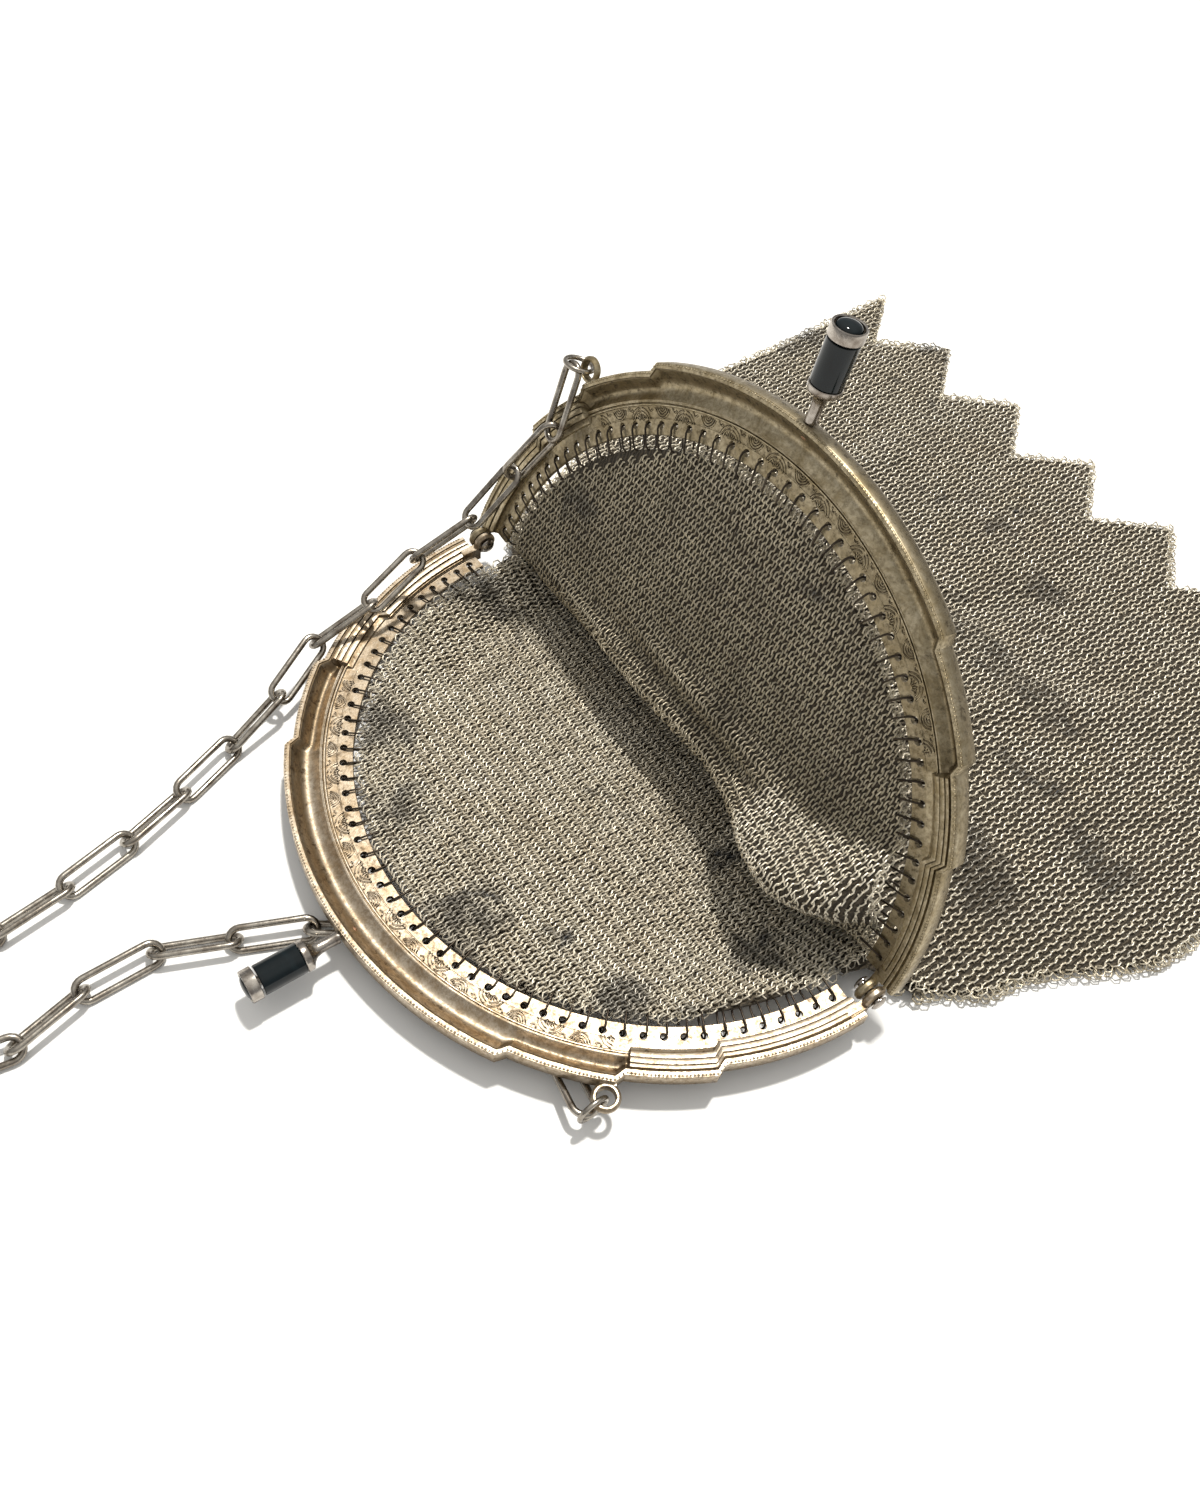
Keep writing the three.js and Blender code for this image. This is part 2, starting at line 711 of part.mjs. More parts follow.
purse.updateMatrixWorld(true);
const hooks = {};
for (const [side, jaw] of [['lower', lowerJaw], ['upper', upperJaw]]) {
  const place = jumpRingPlace(jumpRings[side]);
  const ring = new THREE.TorusGeometry(jumpRingRadius, jumpRingWire / 2, 6, 12);
  const mesh = add(jaw, `jump_ring_${side}`, ring, materials.chain);
  mesh.position.copy(place.centre);
  mesh.quaternion.setFromRotationMatrix(new THREE.Matrix4().makeBasis(
    place.away,
    v3(0, 0, 1),
    place.away.clone().cross(v3(0, 0, 1)),
  ));
  hooks[side] = place.hook.applyMatrix4(jaw.matrixWorld);
}

const joints = chainJoints(hooks.upper, hooks.lower);
const reach = (linkLength - linkWire) / 2;
for (let i = 0; i < joints.length - 1; i += 1) {
  const along = joints[i + 1].at.clone().sub(joints[i].at).normalize();
  const level = along.clone().cross(v3(0, 0, 1)).normalize();
  const roll = (joints[i].roll + joints[i + 1].roll) / 2 + (i % 2 ? linkTilt : -linkTilt);
  const across = level.applyAxisAngle(along, rad(roll));
  const link = add(purse, `chain_link_${String(i + 1).padStart(2, '0')}`, linkGeometry(), materials.chain);
  link.position.copy(joints[i].at).lerp(joints[i + 1].at, 0.5);
  if (i === 0) link.position.copy(joints[0].at).addScaledVector(along, reach);
  if (i === joints.length - 2) link.position.copy(joints[i + 1].at).addScaledVector(along, -reach);
  const sag = Math.abs(across.z) * (linkWidth - linkWire) + Math.abs(along.z) * (linkLength - linkWidth);
  const lowest = (sag + linkWire) / 2;
  link.position.z = Math.max(link.position.z, lowest - hingeHeight);
  link.quaternion.setFromRotationMatrix(
    new THREE.Matrix4().makeBasis(along, across, along.clone().cross(across)),
  );
}

// The origin is under the middle of the whole purse, on the table
purse.updateMatrixWorld(true);
const bounds = new THREE.Box3().setFromObject(purse, true);
const middle = bounds.getCenter(v3(0, 0, 0));
purse.position.set(-middle.x, -middle.y, -bounds.min.z);

export default purse;
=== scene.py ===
"""Looks of the metal mesh purse: stamped and chased jaws, onyx clasp, chain and linked ring mesh.

Shapes are worked out in millimetres from the middle of the hinge line, +X along the hinges,
+Y towards the toothed hem and +Z up, and become metres in the row's frame when a piece is made."""

import math

import bmesh
import bpy
import numpy as np
from mathutils import Matrix, Vector


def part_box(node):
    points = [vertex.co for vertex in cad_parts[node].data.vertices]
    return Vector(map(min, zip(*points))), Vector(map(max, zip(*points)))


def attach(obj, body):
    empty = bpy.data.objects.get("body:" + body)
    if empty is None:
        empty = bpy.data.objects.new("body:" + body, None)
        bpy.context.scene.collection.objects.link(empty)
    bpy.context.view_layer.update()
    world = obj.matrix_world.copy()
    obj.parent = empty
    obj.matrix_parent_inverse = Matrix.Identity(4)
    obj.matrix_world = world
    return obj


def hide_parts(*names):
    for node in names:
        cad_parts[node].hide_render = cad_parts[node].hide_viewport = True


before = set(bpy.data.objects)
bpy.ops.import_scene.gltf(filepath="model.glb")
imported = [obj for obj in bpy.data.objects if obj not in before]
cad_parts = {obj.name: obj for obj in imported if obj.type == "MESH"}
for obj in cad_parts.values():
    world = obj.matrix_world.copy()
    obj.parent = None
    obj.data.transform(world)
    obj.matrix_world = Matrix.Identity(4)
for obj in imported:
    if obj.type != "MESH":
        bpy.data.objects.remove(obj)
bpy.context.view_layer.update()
MM = 0.001


def node_middle(name):
    low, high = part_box(name)
    return (low + high) / 2


HINGE = np.array((node_middle("hinge_pin_a") + node_middle("hinge_pin_b")) / 2)
TABLE = -HINGE[2] / MM

# Jaws, in the jaw's own frame: the inner face is up and the middle of the rim points to -Y
OPENING = 108
TIERS = [(66.6, 31.9), (65.2, 48.5), (63.8, 63.1), (62.2, 90)]
TIER_STEP = 1.3
JAW_END = 87.23
REEDS_FROM = 49.4
REEDS_FADE = 0.35
REEDS = ((0.72, 0.12), (1.0, 0.3), (1.05, 0.42))
REEDS_TOP = -0.16
REED_GROOVE = 0.08
LIP = 1.3
COVE_END = 60.5
COVE_DEPTH = 2.6
BAND_DEPTH = 1.9
JAW_DEPTH = 3.9
STRIP_EDGE = 54.6
HOLE_RADIUS = 0.7
HOLE_RING = 56.4
HOLE_COUNT = 52
HOLE_SPREAD = 170
PIN_X = 60
EYE_ANGLE = 47
EYE_CENTRE = 67.3
EYE_DEPTH = 1.7

# Clasp knobs
KNOB_X = 3.2
KNOB_DEPTH = 1.7
KNOB_LEAN = {"lower": 0, "upper": 9}

# Mesh
SHEET = 1.2
DISC = 54.17
SHEET_DEPTH = 2.35
BAG_LENGTH = 139.5
TOOTH_DEPTH = 15
TOOTH_COUNT = 7
FULLNESS = 6
HEM_FULLNESS = 1.2
FOLD_RADIUS = 4
SAG_START = -45
SAG_LENGTH = 32
SAG_BESIDE = 16
FLOOR_LEVEL = TABLE + SHEET / 2
BAG_SIDES = np.array([(0, 0.895), (0.036, 0.925), (0.072, 1.07), (0.16, 1.185), (0.4, 1.395),
                      (0.6, 1.385), (1, 1.42)])


def turn_x(degrees):
    return np.array(Matrix.Rotation(math.radians(degrees), 3, "X"))


JAW_TURN = {"lower": np.eye(3), "upper": turn_x(-OPENING) @ np.diag([-1.0, 1.0, -1.0])}
UP = np.array([0, -math.cos(math.radians(OPENING)), math.sin(math.radians(OPENING))])
INWARD = np.array([0, -UP[2], UP[1]])
JAW_SLOT = {"lower": "jaw_bright", "upper": "jaw_shade"}


# Making meshes

def to_row(points):
    return np.asarray(points, float) * MM + HINGE


def new_piece(name, points, faces, finish):
    """A mesh object from points in millimetres and faces."""
    mesh = bpy.data.meshes.new(name)
    mesh.from_pydata(to_row(points).tolist(), [], [list(map(int, f)) for f in faces])
    mesh.validate()
    piece = bpy.data.objects.new(name, mesh)
    bpy.context.scene.collection.objects.link(piece)
    if finish:
        mesh.materials.append(finish)
    return piece


def outward(piece, smooth_below=None):
    """Turns every face of closed shells outwards, and smooths the edges flatter than an angle."""
    work = bmesh.new()
    work.from_mesh(piece.data)
    bmesh.ops.recalc_face_normals(work, faces=work.faces)
    work.to_mesh(piece.data)
    work.free()
    if smooth_below:
        piece.data.shade_smooth()
        piece.data.set_sharp_from_angle(angle=math.radians(smooth_below))


def grid_faces(rows, columns, first=0, close_columns=False, flip=False):
    faces = []
    last = columns if close_columns else columns - 1
    for i in range(rows - 1):
        for j in range(last):
            a = first + i * columns + j
            b = first + i * columns + (j + 1) % columns
            face = (a, a + columns, b + columns, b)
            faces.append(face[::-1] if flip else face)
    return faces


def ride_as(piece, slot, *nodes):
    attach(piece, "root")
    if nodes:
        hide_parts(*nodes)
    return piece


def circle(radius, sides):
    turn = 2 * math.pi * np.arange(sides) / sides
    return np.stack([radius * np.cos(turn), radius * np.sin(turn), 0 * turn], 1)


def wire(route, radius, sides, closed=True):
    """Points and faces of a round wire along a route in a plane across Z."""
    route = np.asarray(route, float)
    if closed:
        ahead = np.roll(route, -1, 0) - np.roll(route, 1, 0)
    else:
        ahead = np.gradient(route, axis=0)
    ahead /= np.linalg.norm(ahead, axis=1)[:, None]
    out = np.stack([ahead[:, 1], -ahead[:, 0], np.zeros(len(route))], 1)
    turn = 2 * math.pi * np.arange(sides) / sides
    rings = (route[:, None] + radius * np.cos(turn)[None, :, None] * out[:, None]
             + radius * np.sin(turn)[None, :, None] * np.array([0, 0, 1.0]))
    rows = len(route)
    faces = grid_faces(rows, sides, close_columns=True)
    if closed:
        end = (rows - 1) * sides
        faces += [(end + j, j, (j + 1) % sides, end + (j + 1) % sides) for j in range(sides)]
    else:
        faces += [tuple(range(sides)), tuple(range((rows - 1) * sides, rows * sides))[::-1]]
    return rings.reshape(-1, 3), faces


def turned_shape(profile, sides):
    """A lathe-turned shape about Z from (radius, height) pairs, its poles closed."""
    turn = 2 * math.pi * np.arange(sides) / sides
    points, faces, rings = [], [], []
    for radius, height in profile:
        if radius == 0:
            rings.append([len(points)] * sides)
            points.append((0, 0, height))
        else:
            rings.append(list(range(len(points), len(points) + sides)))
            points += [(radius * math.cos(t), radius * math.sin(t), height) for t in turn]
    for low, high in zip(rings, rings[1:]):
        for j in range(sides):
            k = (j + 1) % sides
            face = tuple(dict.fromkeys((low[j], low[k], high[k], high[j])))
            if len(face) > 2:
                faces.append(face)
    return np.array(points, float), faces


def turned(name, profile, place, sides, finish):
    """A lathe-turned piece about Y from (radius, height) pairs, set by place(points)."""
    points, faces = turned_shape(profile, sides)
    piece = new_piece(name, place(points[:, [0, 2, 1]]), faces, finish)
    outward(piece, 32)
    return piece


# Copies of one shape at many places, made by Geometry Nodes

def copies_tree():
    tree = bpy.data.node_groups.new("copies at places", "GeometryNodeTree")
    sockets = {}
    for label, kind in (("Places", "Geometry"), ("Shape", "Object"), ("Size spread", "Float"),
                        ("Seed", "Int"), ("Finish", "Material")):
        sockets[label] = tree.interface.new_socket(label, in_out="INPUT",
                                                   socket_type="NodeSocket" + kind).identifier
    tree.interface.new_socket("Copies", in_out="OUTPUT", socket_type="NodeSocketGeometry")
    nodes, link = tree.nodes, tree.links.new
    given = nodes.new("NodeGroupInput")
    result = nodes.new("NodeGroupOutput")
    shape = nodes.new("GeometryNodeObjectInfo")
    shape.inputs["As Instance"].default_value = True
    turn = nodes.new("GeometryNodeInputNamedAttribute")
    turn.data_type = "QUATERNION"
    turn.inputs["Name"].default_value = "turn"
    smallest = nodes.new("ShaderNodeMath")
    smallest.operation = "SUBTRACT"
    smallest.inputs[0].default_value = 1
    largest = nodes.new("ShaderNodeMath")
    largest.operation = "ADD"
    largest.inputs[0].default_value = 1
    size = nodes.new("FunctionNodeRandomValue")
    size.data_type = "FLOAT"
    place = nodes.new("GeometryNodeInstanceOnPoints")
    real = nodes.new("GeometryNodeRealizeInstances")
    finish = nodes.new("GeometryNodeSetMaterial")
    link(given.outputs["Shape"], shape.inputs["Object"])
    link(given.outputs["Size spread"], smallest.inputs[1])
    link(given.outputs["Size spread"], largest.inputs[1])
    low = [s for s in size.inputs if s.name == "Min" and s.enabled][0]
    high = [s for s in size.inputs if s.name == "Max" and s.enabled][0]
    value = [s for s in size.outputs if s.enabled][0]
    link(smallest.outputs[0], low)
    link(largest.outputs[0], high)
    link(given.outputs["Seed"], size.inputs["Seed"])
    link(given.outputs["Places"], place.inputs["Points"])
    link(shape.outputs["Geometry"], place.inputs["Instance"])
    turned_by = [s for s in turn.outputs if s.enabled and s.name == "Attribute"][0]
    link(turned_by, place.inputs["Rotation"])
    link(value, place.inputs["Scale"])
    link(place.outputs["Instances"], real.inputs["Geometry"])
    link(real.outputs["Geometry"], finish.inputs["Geometry"])
    link(given.outputs["Finish"], finish.inputs["Material"])
    link(finish.outputs["Geometry"], result.inputs["Copies"])
    return tree, sockets


COPIES, COPY_SOCKETS = copies_tree()


def to_quaternions(frames):
    """Rotation matrices (n, 3, 3), columns x, y, z, to quaternions w, x, y, z."""
    m = np.asarray(frames, float)
    trace = [1 + m[:, 0, 0] + m[:, 1, 1] + m[:, 2, 2], 1 + m[:, 0, 0] - m[:, 1, 1] - m[:, 2, 2],
             1 - m[:, 0, 0] + m[:, 1, 1] - m[:, 2, 2], 1 - m[:, 0, 0] - m[:, 1, 1] + m[:, 2, 2]]
    best = np.argmax(np.stack(trace), 0)
    a, b, c = m[:, 2, 1] - m[:, 1, 2], m[:, 0, 2] - m[:, 2, 0], m[:, 1, 0] - m[:, 0, 1]
    d, e, f = m[:, 1, 0] + m[:, 0, 1], m[:, 0, 2] + m[:, 2, 0], m[:, 2, 1] + m[:, 1, 2]
    rows = [np.stack([trace[0], a, b, c], 1), np.stack([a, trace[1], d, e], 1),
            np.stack([b, d, trace[2], f], 1), np.stack([c, e, f, trace[3]], 1)]
    q = np.choose(best[:, None], rows)
    return q / np.linalg.norm(q, axis=1)[:, None]


def copies(name, shape, places, frames, finish, spread=0.0, seed=1):
    """One real mesh of the shape (points, faces) at each place, turned by its frame."""
    model = new_piece(name + "_shape", shape[0], shape[1], None)
    for vertex in model.data.vertices:
        vertex.co -= Vector(HINGE)
    model.data.shade_smooth()
    seeds = new_piece(name + "_places", places, [], None)
    attribute = seeds.data.attributes.new("turn", "QUATERNION", "POINT")
    attribute.data.foreach_set("value", to_quaternions(frames).astype(np.float32).ravel())
    modifier = seeds.modifiers.new("copies", "NODES")
    modifier.node_group = COPIES
    modifier[COPY_SOCKETS["Shape"]] = model
    modifier[COPY_SOCKETS["Size spread"]] = float(spread)
    modifier[COPY_SOCKETS["Seed"]] = seed
    modifier[COPY_SOCKETS["Finish"]] = finish
    view = bpy.context.evaluated_depsgraph_get()
    mesh = bpy.data.meshes.new_from_object(seeds.evaluated_get(view))
    mesh.name = name
    piece = bpy.data.objects.new(name, mesh)
    bpy.context.scene.collection.objects.link(piece)
    bpy.data.objects.remove(seeds)
    bpy.data.objects.remove(model)
    if not mesh.materials:
        mesh.materials.append(finish)
    return piece


# Finishes

def finish_tree(name, metallic=1.0):
    material = bpy.data.materials.new(name)
    material.use_nodes = True
    shader = material.node_tree.nodes["Principled BSDF"]
    shader.inputs["Metallic"].default_value = metallic
    return material, material.node_tree, shader


def node(tree, kind, inputs=(), **settings):
    made = tree.nodes.new("ShaderNode" + kind)
    for key, value in settings.items():
        setattr(made, key, value)
    for key, value in dict(inputs).items():
        if isinstance(value, bpy.types.NodeSocket):
            tree.links.new(value, made.inputs[key])
        else:
            made.inputs[key].default_value = value
    return made


def place_on(tree):
    return node(tree, "TexCoord").outputs["Object"]


def noise(tree, size_mm, detail=3, roughness=0.6, warp=0.0):
    """Cloudy variation, its blotches about size_mm across."""
    return node(tree, "TexNoise", {"Vector": place_on(tree), "Scale": 1 / (size_mm * MM), "Detail": detail,
                                   "Roughness": roughness, "Distortion": warp}).outputs["Fac"]


def ramp(tree, value, *stops):
    made = node(tree, "ValToRGB", {"Fac": value})
    elements = made.color_ramp.elements
    while len(elements) < len(stops):
        elements.new(1)
    for element, (position, color) in zip(elements, stops):
        element.position = position
        element.color = (*color, 1) if not isinstance(color, (int, float)) else (color, color, color, 1)
    return made.outputs["Color"]


def blend(tree, share, low, high, mode="MIX"):
    made = node(tree, "Mix", data_type="RGBA", blend_type=mode)
    sockets = [s for s in made.inputs if s.enabled]
    for socket, value in zip(sockets, (share, low, high)):
        if isinstance(value, bpy.types.NodeSocket):
            tree.links.new(value, socket)
        elif isinstance(value, (int, float)):
            socket.default_value = value
        else:
            socket.default_value = (*value, 1)
    return [s for s in made.outputs if s.enabled][0]


def relief(tree, shader, height, depth_mm, strength=1.0):
    made = node(tree, "Bump", {"Height": height, "Distance": depth_mm * MM, "Strength": strength})
    tree.links.new(made.outputs["Normal"], shader.inputs["Normal"])


def link_to(tree, shader, **values):
    for key, value in values.items():
        tree.links.new(value, shader.inputs[key.replace("_", " ")])


def plate_finish(name, bright, warm, groove, tarnish):
    """Worn silver-gold plate: bright on the high places, tarnished where dirt stays."""
    material, tree, shader = finish_tree(name)
    hollow = node(tree, "Attribute", attribute_name="hollow").outputs["Fac"]
    clouds = ramp(tree, noise(tree, 4, 6, 0.78, 0.6), (0.4, 0), (0.62, 1))
    grain = noise(tree, 0.7, 4, 0.7)
    spots = ramp(tree, noise(tree, 1.3, 5, 0.8), (0.53, 0), (0.64, 1))
    color = blend(tree, clouds, bright, warm)
    color = blend(tree, ramp(tree, grain, (0.42, 0), (0.62, 0.5)), color, groove)
    color = blend(tree, ramp(tree, hollow, (0.05, 0), (0.75, 0.85)), color, groove)
    held = ramp(tree, hollow, (0, 0.3), (0.6, 1))
    color = blend(tree, blend(tree, 1, spots, held, "MULTIPLY"), color, tarnish)
    rough = ramp(tree, grain, (0.3, 0.3), (0.75, 0.58))
    link_to(tree, shader, Base_Color=color, Roughness=rough)
    relief(tree, shader, noise(tree, 0.9, 5, 0.7), 0.05, 0.6)
    return material


RING_METAL = 0.5
STAIN_STRENGTH = 0.6
STAIN_CORE = 0.35
STAIN_RAGGED = 14
# Blue-black stains of the mesh: place in millimetres from the hinge middle and reach
STAINS = [((2, 75, 0), 6), ((9, 74, 0), 7), ((18, 74, 0), 7), ((28, 73, 0), 7), ((37, 73, -1), 6),
          ((11, 98, -2), 7), ((-25, 88, 0), 6), ((-36, 81, 0), 6), ((48, 34, -1), 8), ((56, 32, -2), 8),
          ((42, 30, 0), 8), ((60, 55, -3), 7), ((-62, 136, -6), 6), ((-9, 103, -2), 5), ((66, 54, -3), 6),
          ((-84, 110, -6), 8), ((12, -47, -5), 9), ((-12, -47, -5), 8), ((38, -34, -5), 7),
          ((-30, -40, -4), 9), ((-51, -6, -5), 9), ((43, -9, -6), 6), ((-40, 6, 22), 7)]


def stains_at(tree):
    """Share of stain, from soft patches at chosen places with cloudy edges."""
    cloud = node(tree, "TexNoise", {"Vector": place_on(tree), "Scale": 1 / (4 * MM), "Detail": 4})
    shake = node(tree, "VectorMath", {0: cloud.outputs["Color"], 1: (0.5, 0.5, 0.5)}, operation="SUBTRACT")
    moved_by = node(tree, "VectorMath", {0: shake.outputs[0]}, operation="SCALE")
    moved_by.inputs["Scale"].default_value = STAIN_RAGGED * MM
    place = node(tree, "VectorMath", {0: place_on(tree), 1: moved_by.outputs[0]}, operation="ADD").outputs[0]
    total = None
    for middle, reach in STAINS:
        away = node(tree, "VectorMath", {0: place, 1: tuple(to_row(middle))}, operation="DISTANCE")
        share = node(tree, "MapRange", {"Value": away.outputs["Value"], "From Min": reach * MM,
                                        "From Max": reach * STAIN_CORE * MM},
                     interpolation_type="SMOOTHSTEP").outputs["Result"]
        if total is None:
            total = share
        else:
            total = node(tree, "Math", {0: total, 1: share}, operation="MAXIMUM").outputs[0]
    return total


def ring_finish(name, bright, dull, stain, stain_from):
    """Fine plated wire of the mesh, with blue-black stains."""
    material, tree, shader = finish_tree(name, RING_METAL)
    clouds = ramp(tree, noise(tree, 9, 4, 0.6), (0.3, 0), (0.7, 1))
    stains = ramp(tree, noise(tree, 16, 5, 0.62, 0.8), (stain_from, 0), (stain_from + 0.11, 1))
    fine = ramp(tree, noise(tree, 1.1, 2, 0.6), (0.35, 0.7), (0.65, 1))
    color = blend(tree, clouds, bright, dull)
    color = blend(tree, 1, color, fine, "MULTIPLY")
    color = blend(tree, stains, color, stain)
    patches = node(tree, "Math", {0: stains_at(tree), 1: STAIN_STRENGTH}, operation="MULTIPLY").outputs[0]
    color = blend(tree, patches, color, stain)
    link_to(tree, shader, Base_Color=color, Roughness=ramp(tree, stains, (0, 0.3), (1, 0.6)))
    return material


def core_finish(name, color, light):
    """Far wires of the mesh and the painted shade between its upper rings, both dark."""
    material, tree, shader = finish_tree(name, 0.35)
    waves = node(tree, "TexWave", {"Vector": place_on(tree), "Scale": 1 / (2.4 * MM), "Distortion": 6,
                                   "Detail": 2, "Detail Scale": 2})
    link_to(tree, shader, Base_Color=blend(tree, waves.outputs["Fac"], color, light))
    shader.inputs["Roughness"].default_value = 0.7
    relief(tree, shader, waves.outputs["Fac"], 0.3, 0.8)
    return material


def fitting_finish(name, bright, dull, smooth, rough, cloud_mm=3.0):
    """Rubbed silver of the small fittings and the wire of the chain."""
    material, tree, shader = finish_tree(name)
    clouds = ramp(tree, noise(tree, cloud_mm, 5, 0.65, 0.4), (0.35, 0), (0.68, 1))
    link_to(tree, shader, Base_Color=blend(tree, clouds, bright, dull),
            Roughness=ramp(tree, noise(tree, 0.8, 4, 0.7), (0.3, smooth), (0.75, rough)))
    relief(tree, shader, noise(tree, 0.5, 4, 0.6), 0.02, 0.5)
    return material


def onyx_finish(name):
    """Polished black stone with faint blue-green clouds."""
    material, tree, shader = finish_tree(name, 0.0)
    clouds = ramp(tree, noise(tree, 4, 3, 0.5, 1.0), (0.3, 0), (0.8, 1))
    link_to(tree, shader, Base_Color=blend(tree, clouds, (0.001, 0.003, 0.004), (0.004, 0.010, 0.013)),
            Roughness=ramp(tree, noise(tree, 0.9, 3, 0.6), (0.3, 0.05), (0.8, 0.12)))
    shader.inputs["IOR"].default_value = 1.38
    relief(tree, shader, noise(tree, 1.5, 2, 0.5), 0.01, 0.3)
    return material


# One worn plate in two copies: the lower jaw's copy is lit, and the upper jaw's copy is darker and more olive
# as painted shade
plate_in_light = plate_finish("worn plate in light", (0.58, 0.51, 0.41), (0.37, 0.285, 0.19),
                           (0.17, 0.12, 0.065), (0.07, 0.045, 0.025))
plate_in_painted_shade = plate_finish("worn plate in painted shade", (0.50, 0.43, 0.30), (0.30, 0.24, 0.14),
                           (0.17, 0.135, 0.08), (0.06, 0.045, 0.025))
ring_wire = ring_finish("ring wire", (1.0, 0.93, 0.77), (0.88, 0.79, 0.62), (0.05, 0.055, 0.065), 0.61)
# A darker, more olive copy of the ring wire as painted shade, for the shaded upper disc and the edge rings
ring_wire_in_painted_shade = ring_finish("ring wire in painted shade", (0.70, 0.62, 0.46), (0.48, 0.42, 0.31),
                              (0.05, 0.055, 0.065), 0.62)
# Near-black sheet colour: the far wires of the mesh together with painted shade between the rings
mesh_depth_shade = core_finish("depth of the mesh with painted shade", (0.03, 0.024, 0.016), (0.085, 0.068, 0.045))
silver = fitting_finish("rubbed silver", (0.52, 0.48, 0.43), (0.17, 0.14, 0.115), 0.14, 0.36)
chain_wire = fitting_finish("chain wire", (0.42, 0.39, 0.34), (0.17, 0.14, 0.11), 0.18, 0.4)
dark_wire = fitting_finish("dark hanging wire", (0.075, 0.06, 0.045), (0.025, 0.02, 0.016), 0.3, 0.5, 6)
rivet_brown = fitting_finish("brown rivet", (0.34, 0.2, 0.12), (0.1, 0.05, 0.03), 0.3, 0.6)
# Near-black wire for the painted shadow beside the raised chased lines
chasing_painted_shadow = fitting_finish("painted shadow beside the chasing", (0.1, 0.07, 0.045), (0.035, 0.025, 0.015), 0.6, 0.85)
onyx = onyx_finish("black onyx")


# Jaws

def jaw_rim(angle):
    radius = TIERS[0][0]
    for (_, end), (following, _) in zip(TIERS, TIERS[1:]):
        share = np.clip((abs(angle) - end + TIER_STEP / 2) / TIER_STEP, 0, 1)
        radius = radius + (following - radius) * share
    return radius


def jaw_face(rim):
    """The face of the jaw between lip and band in its middle: cove and double line."""
    lip_in = rim - LIP
    cove_end = min(COVE_END, lip_in - 0.7)
    depth = min(COVE_DEPTH, 0.5 + 0.75 * (lip_in - cove_end))
    cove = []
    for share in np.linspace(0, 1, 9):
        across = lip_in + (cove_end - lip_in) * share
        cove.append((across, -0.42 - (depth - 1.05) * math.sin(math.pi * share) - 0.9 * share))
    fillet = max(cove_end - 0.15, 60.15)
    return [*cove, (fillet, -1.38), (fillet - 0.12, -1.34), (60.12, -1.34), (60.03, -1.44), (59.96, -1.7),
            (59.84, -1.7), (59.76, -1.44), (59.6, -1.44), (59.52, -1.82), (59.4, -1.88), (59.2, -BAND_DEPTH),
            (57.62, -BAND_DEPTH), (57.55, -1.98), (57.42, -1.98), (57.35, -BAND_DEPTH)]


def reeded_face(rim):
    """The same face on the stepped ends: three flat reeds between narrow grooves."""
    face, across, level = [], rim - LIP, REEDS_TOP
    for width, drop in REEDS:
        face += [(across, level - 0.26), (across - 0.1, level - 0.28), (across - 0.18, level),
                 (across - width / 2, level + 0.04), (across - width, level - drop * 0.3)]
        across -= width + REED_GROOVE
        level -= drop
    last = min(across - 0.25, 58.6)
    face += [(across, level - 0.3), (across - 0.1, level - 0.32), (last, -BAND_DEPTH + 0.3)]
    face += [(radius, -BAND_DEPTH) for radius in (last - 0.2, last - 0.4, 57.3, 57.2, 57.1, 57.0)]
    return face


def jaw_section(rim, reeded):
    """The stamped section at one angle: (radius, height) from the outer foot round to the back."""
    coved, flat = np.array(jaw_face(rim)), np.array(reeded_face(rim))
    face = coved + (flat - coved) * reeded
    return np.array([
        (rim, -JAW_DEPTH + 1), (rim, -0.34), (rim - 0.12, -0.12), (rim - 0.22, -0.12), (rim - 0.3, 0),
        (rim - 0.95, 0), (rim - 1.08, -0.3), (rim - 1.2, -0.34), *map(tuple, face),
        (STRIP_EDGE + 0.12, -BAND_DEPTH), (STRIP_EDGE, -2.02), (STRIP_EDGE, -2.68), (STRIP_EDGE + 0.12, -2.8),
        (59.0, -2.8), (60.4, -3.25), (min(61.9, rim - 1.4), -3.8), (rim - 0.7, -JAW_DEPTH), (rim - 0.2, -3.5),
    ])


def jaw_angles():
    angles = set(np.round(np.linspace(0, JAW_END, 60), 3))
    for _, end in TIERS[:-1]:
        angles |= {end - TIER_STEP / 2, end - TIER_STEP / 4, end, end + TIER_STEP / 4, end + TIER_STEP / 2}
    angles |= {REEDS_FROM, REEDS_FROM + REEDS_FADE}
    half = sorted(angles)
    return [-a for a in half[:0:-1]] + half


def polar(radius, angle, height):
    angle = np.radians(angle)
    return np.stack(np.broadcast_arrays(radius * np.sin(angle), -radius * np.cos(angle), height), -1)


def box_shape(low, high):
    ends = list(zip(low, high))
    corners = np.array([(x, y, z) for x in ends[0] for y in ends[1] for z in ends[2]])
    return corners, [(0, 1, 3, 2), (4, 6, 7, 5), (0, 4, 5, 1), (2, 3, 7, 6), (0, 2, 6, 4), (1, 5, 7, 3)]


def ring_shape(inner, outer, thick, sides):
    """A flat washer across Z with eased edges."""
    ease = thick * 0.3
    section = [(inner, -thick / 2), (outer - ease, -thick / 2), (outer, -thick / 2 + ease),
               (outer, thick / 2 - ease), (outer - ease, thick / 2), (inner + ease * 0.5, thick / 2),
               (inner, thick / 2 - ease)]
    turn = 2 * math.pi * np.arange(sides) / sides
    points = [(r * math.cos(t), r * math.sin(t), z) for t in turn for r, z in section]
    faces = grid_faces(sides, len(section), close_columns=True)
    end = (sides - 1) * len(section)
    for j in range(len(section)):
        k = (j + 1) % len(section)
        faces.append((end + j, j, k, end + k))
    return np.array(points), faces


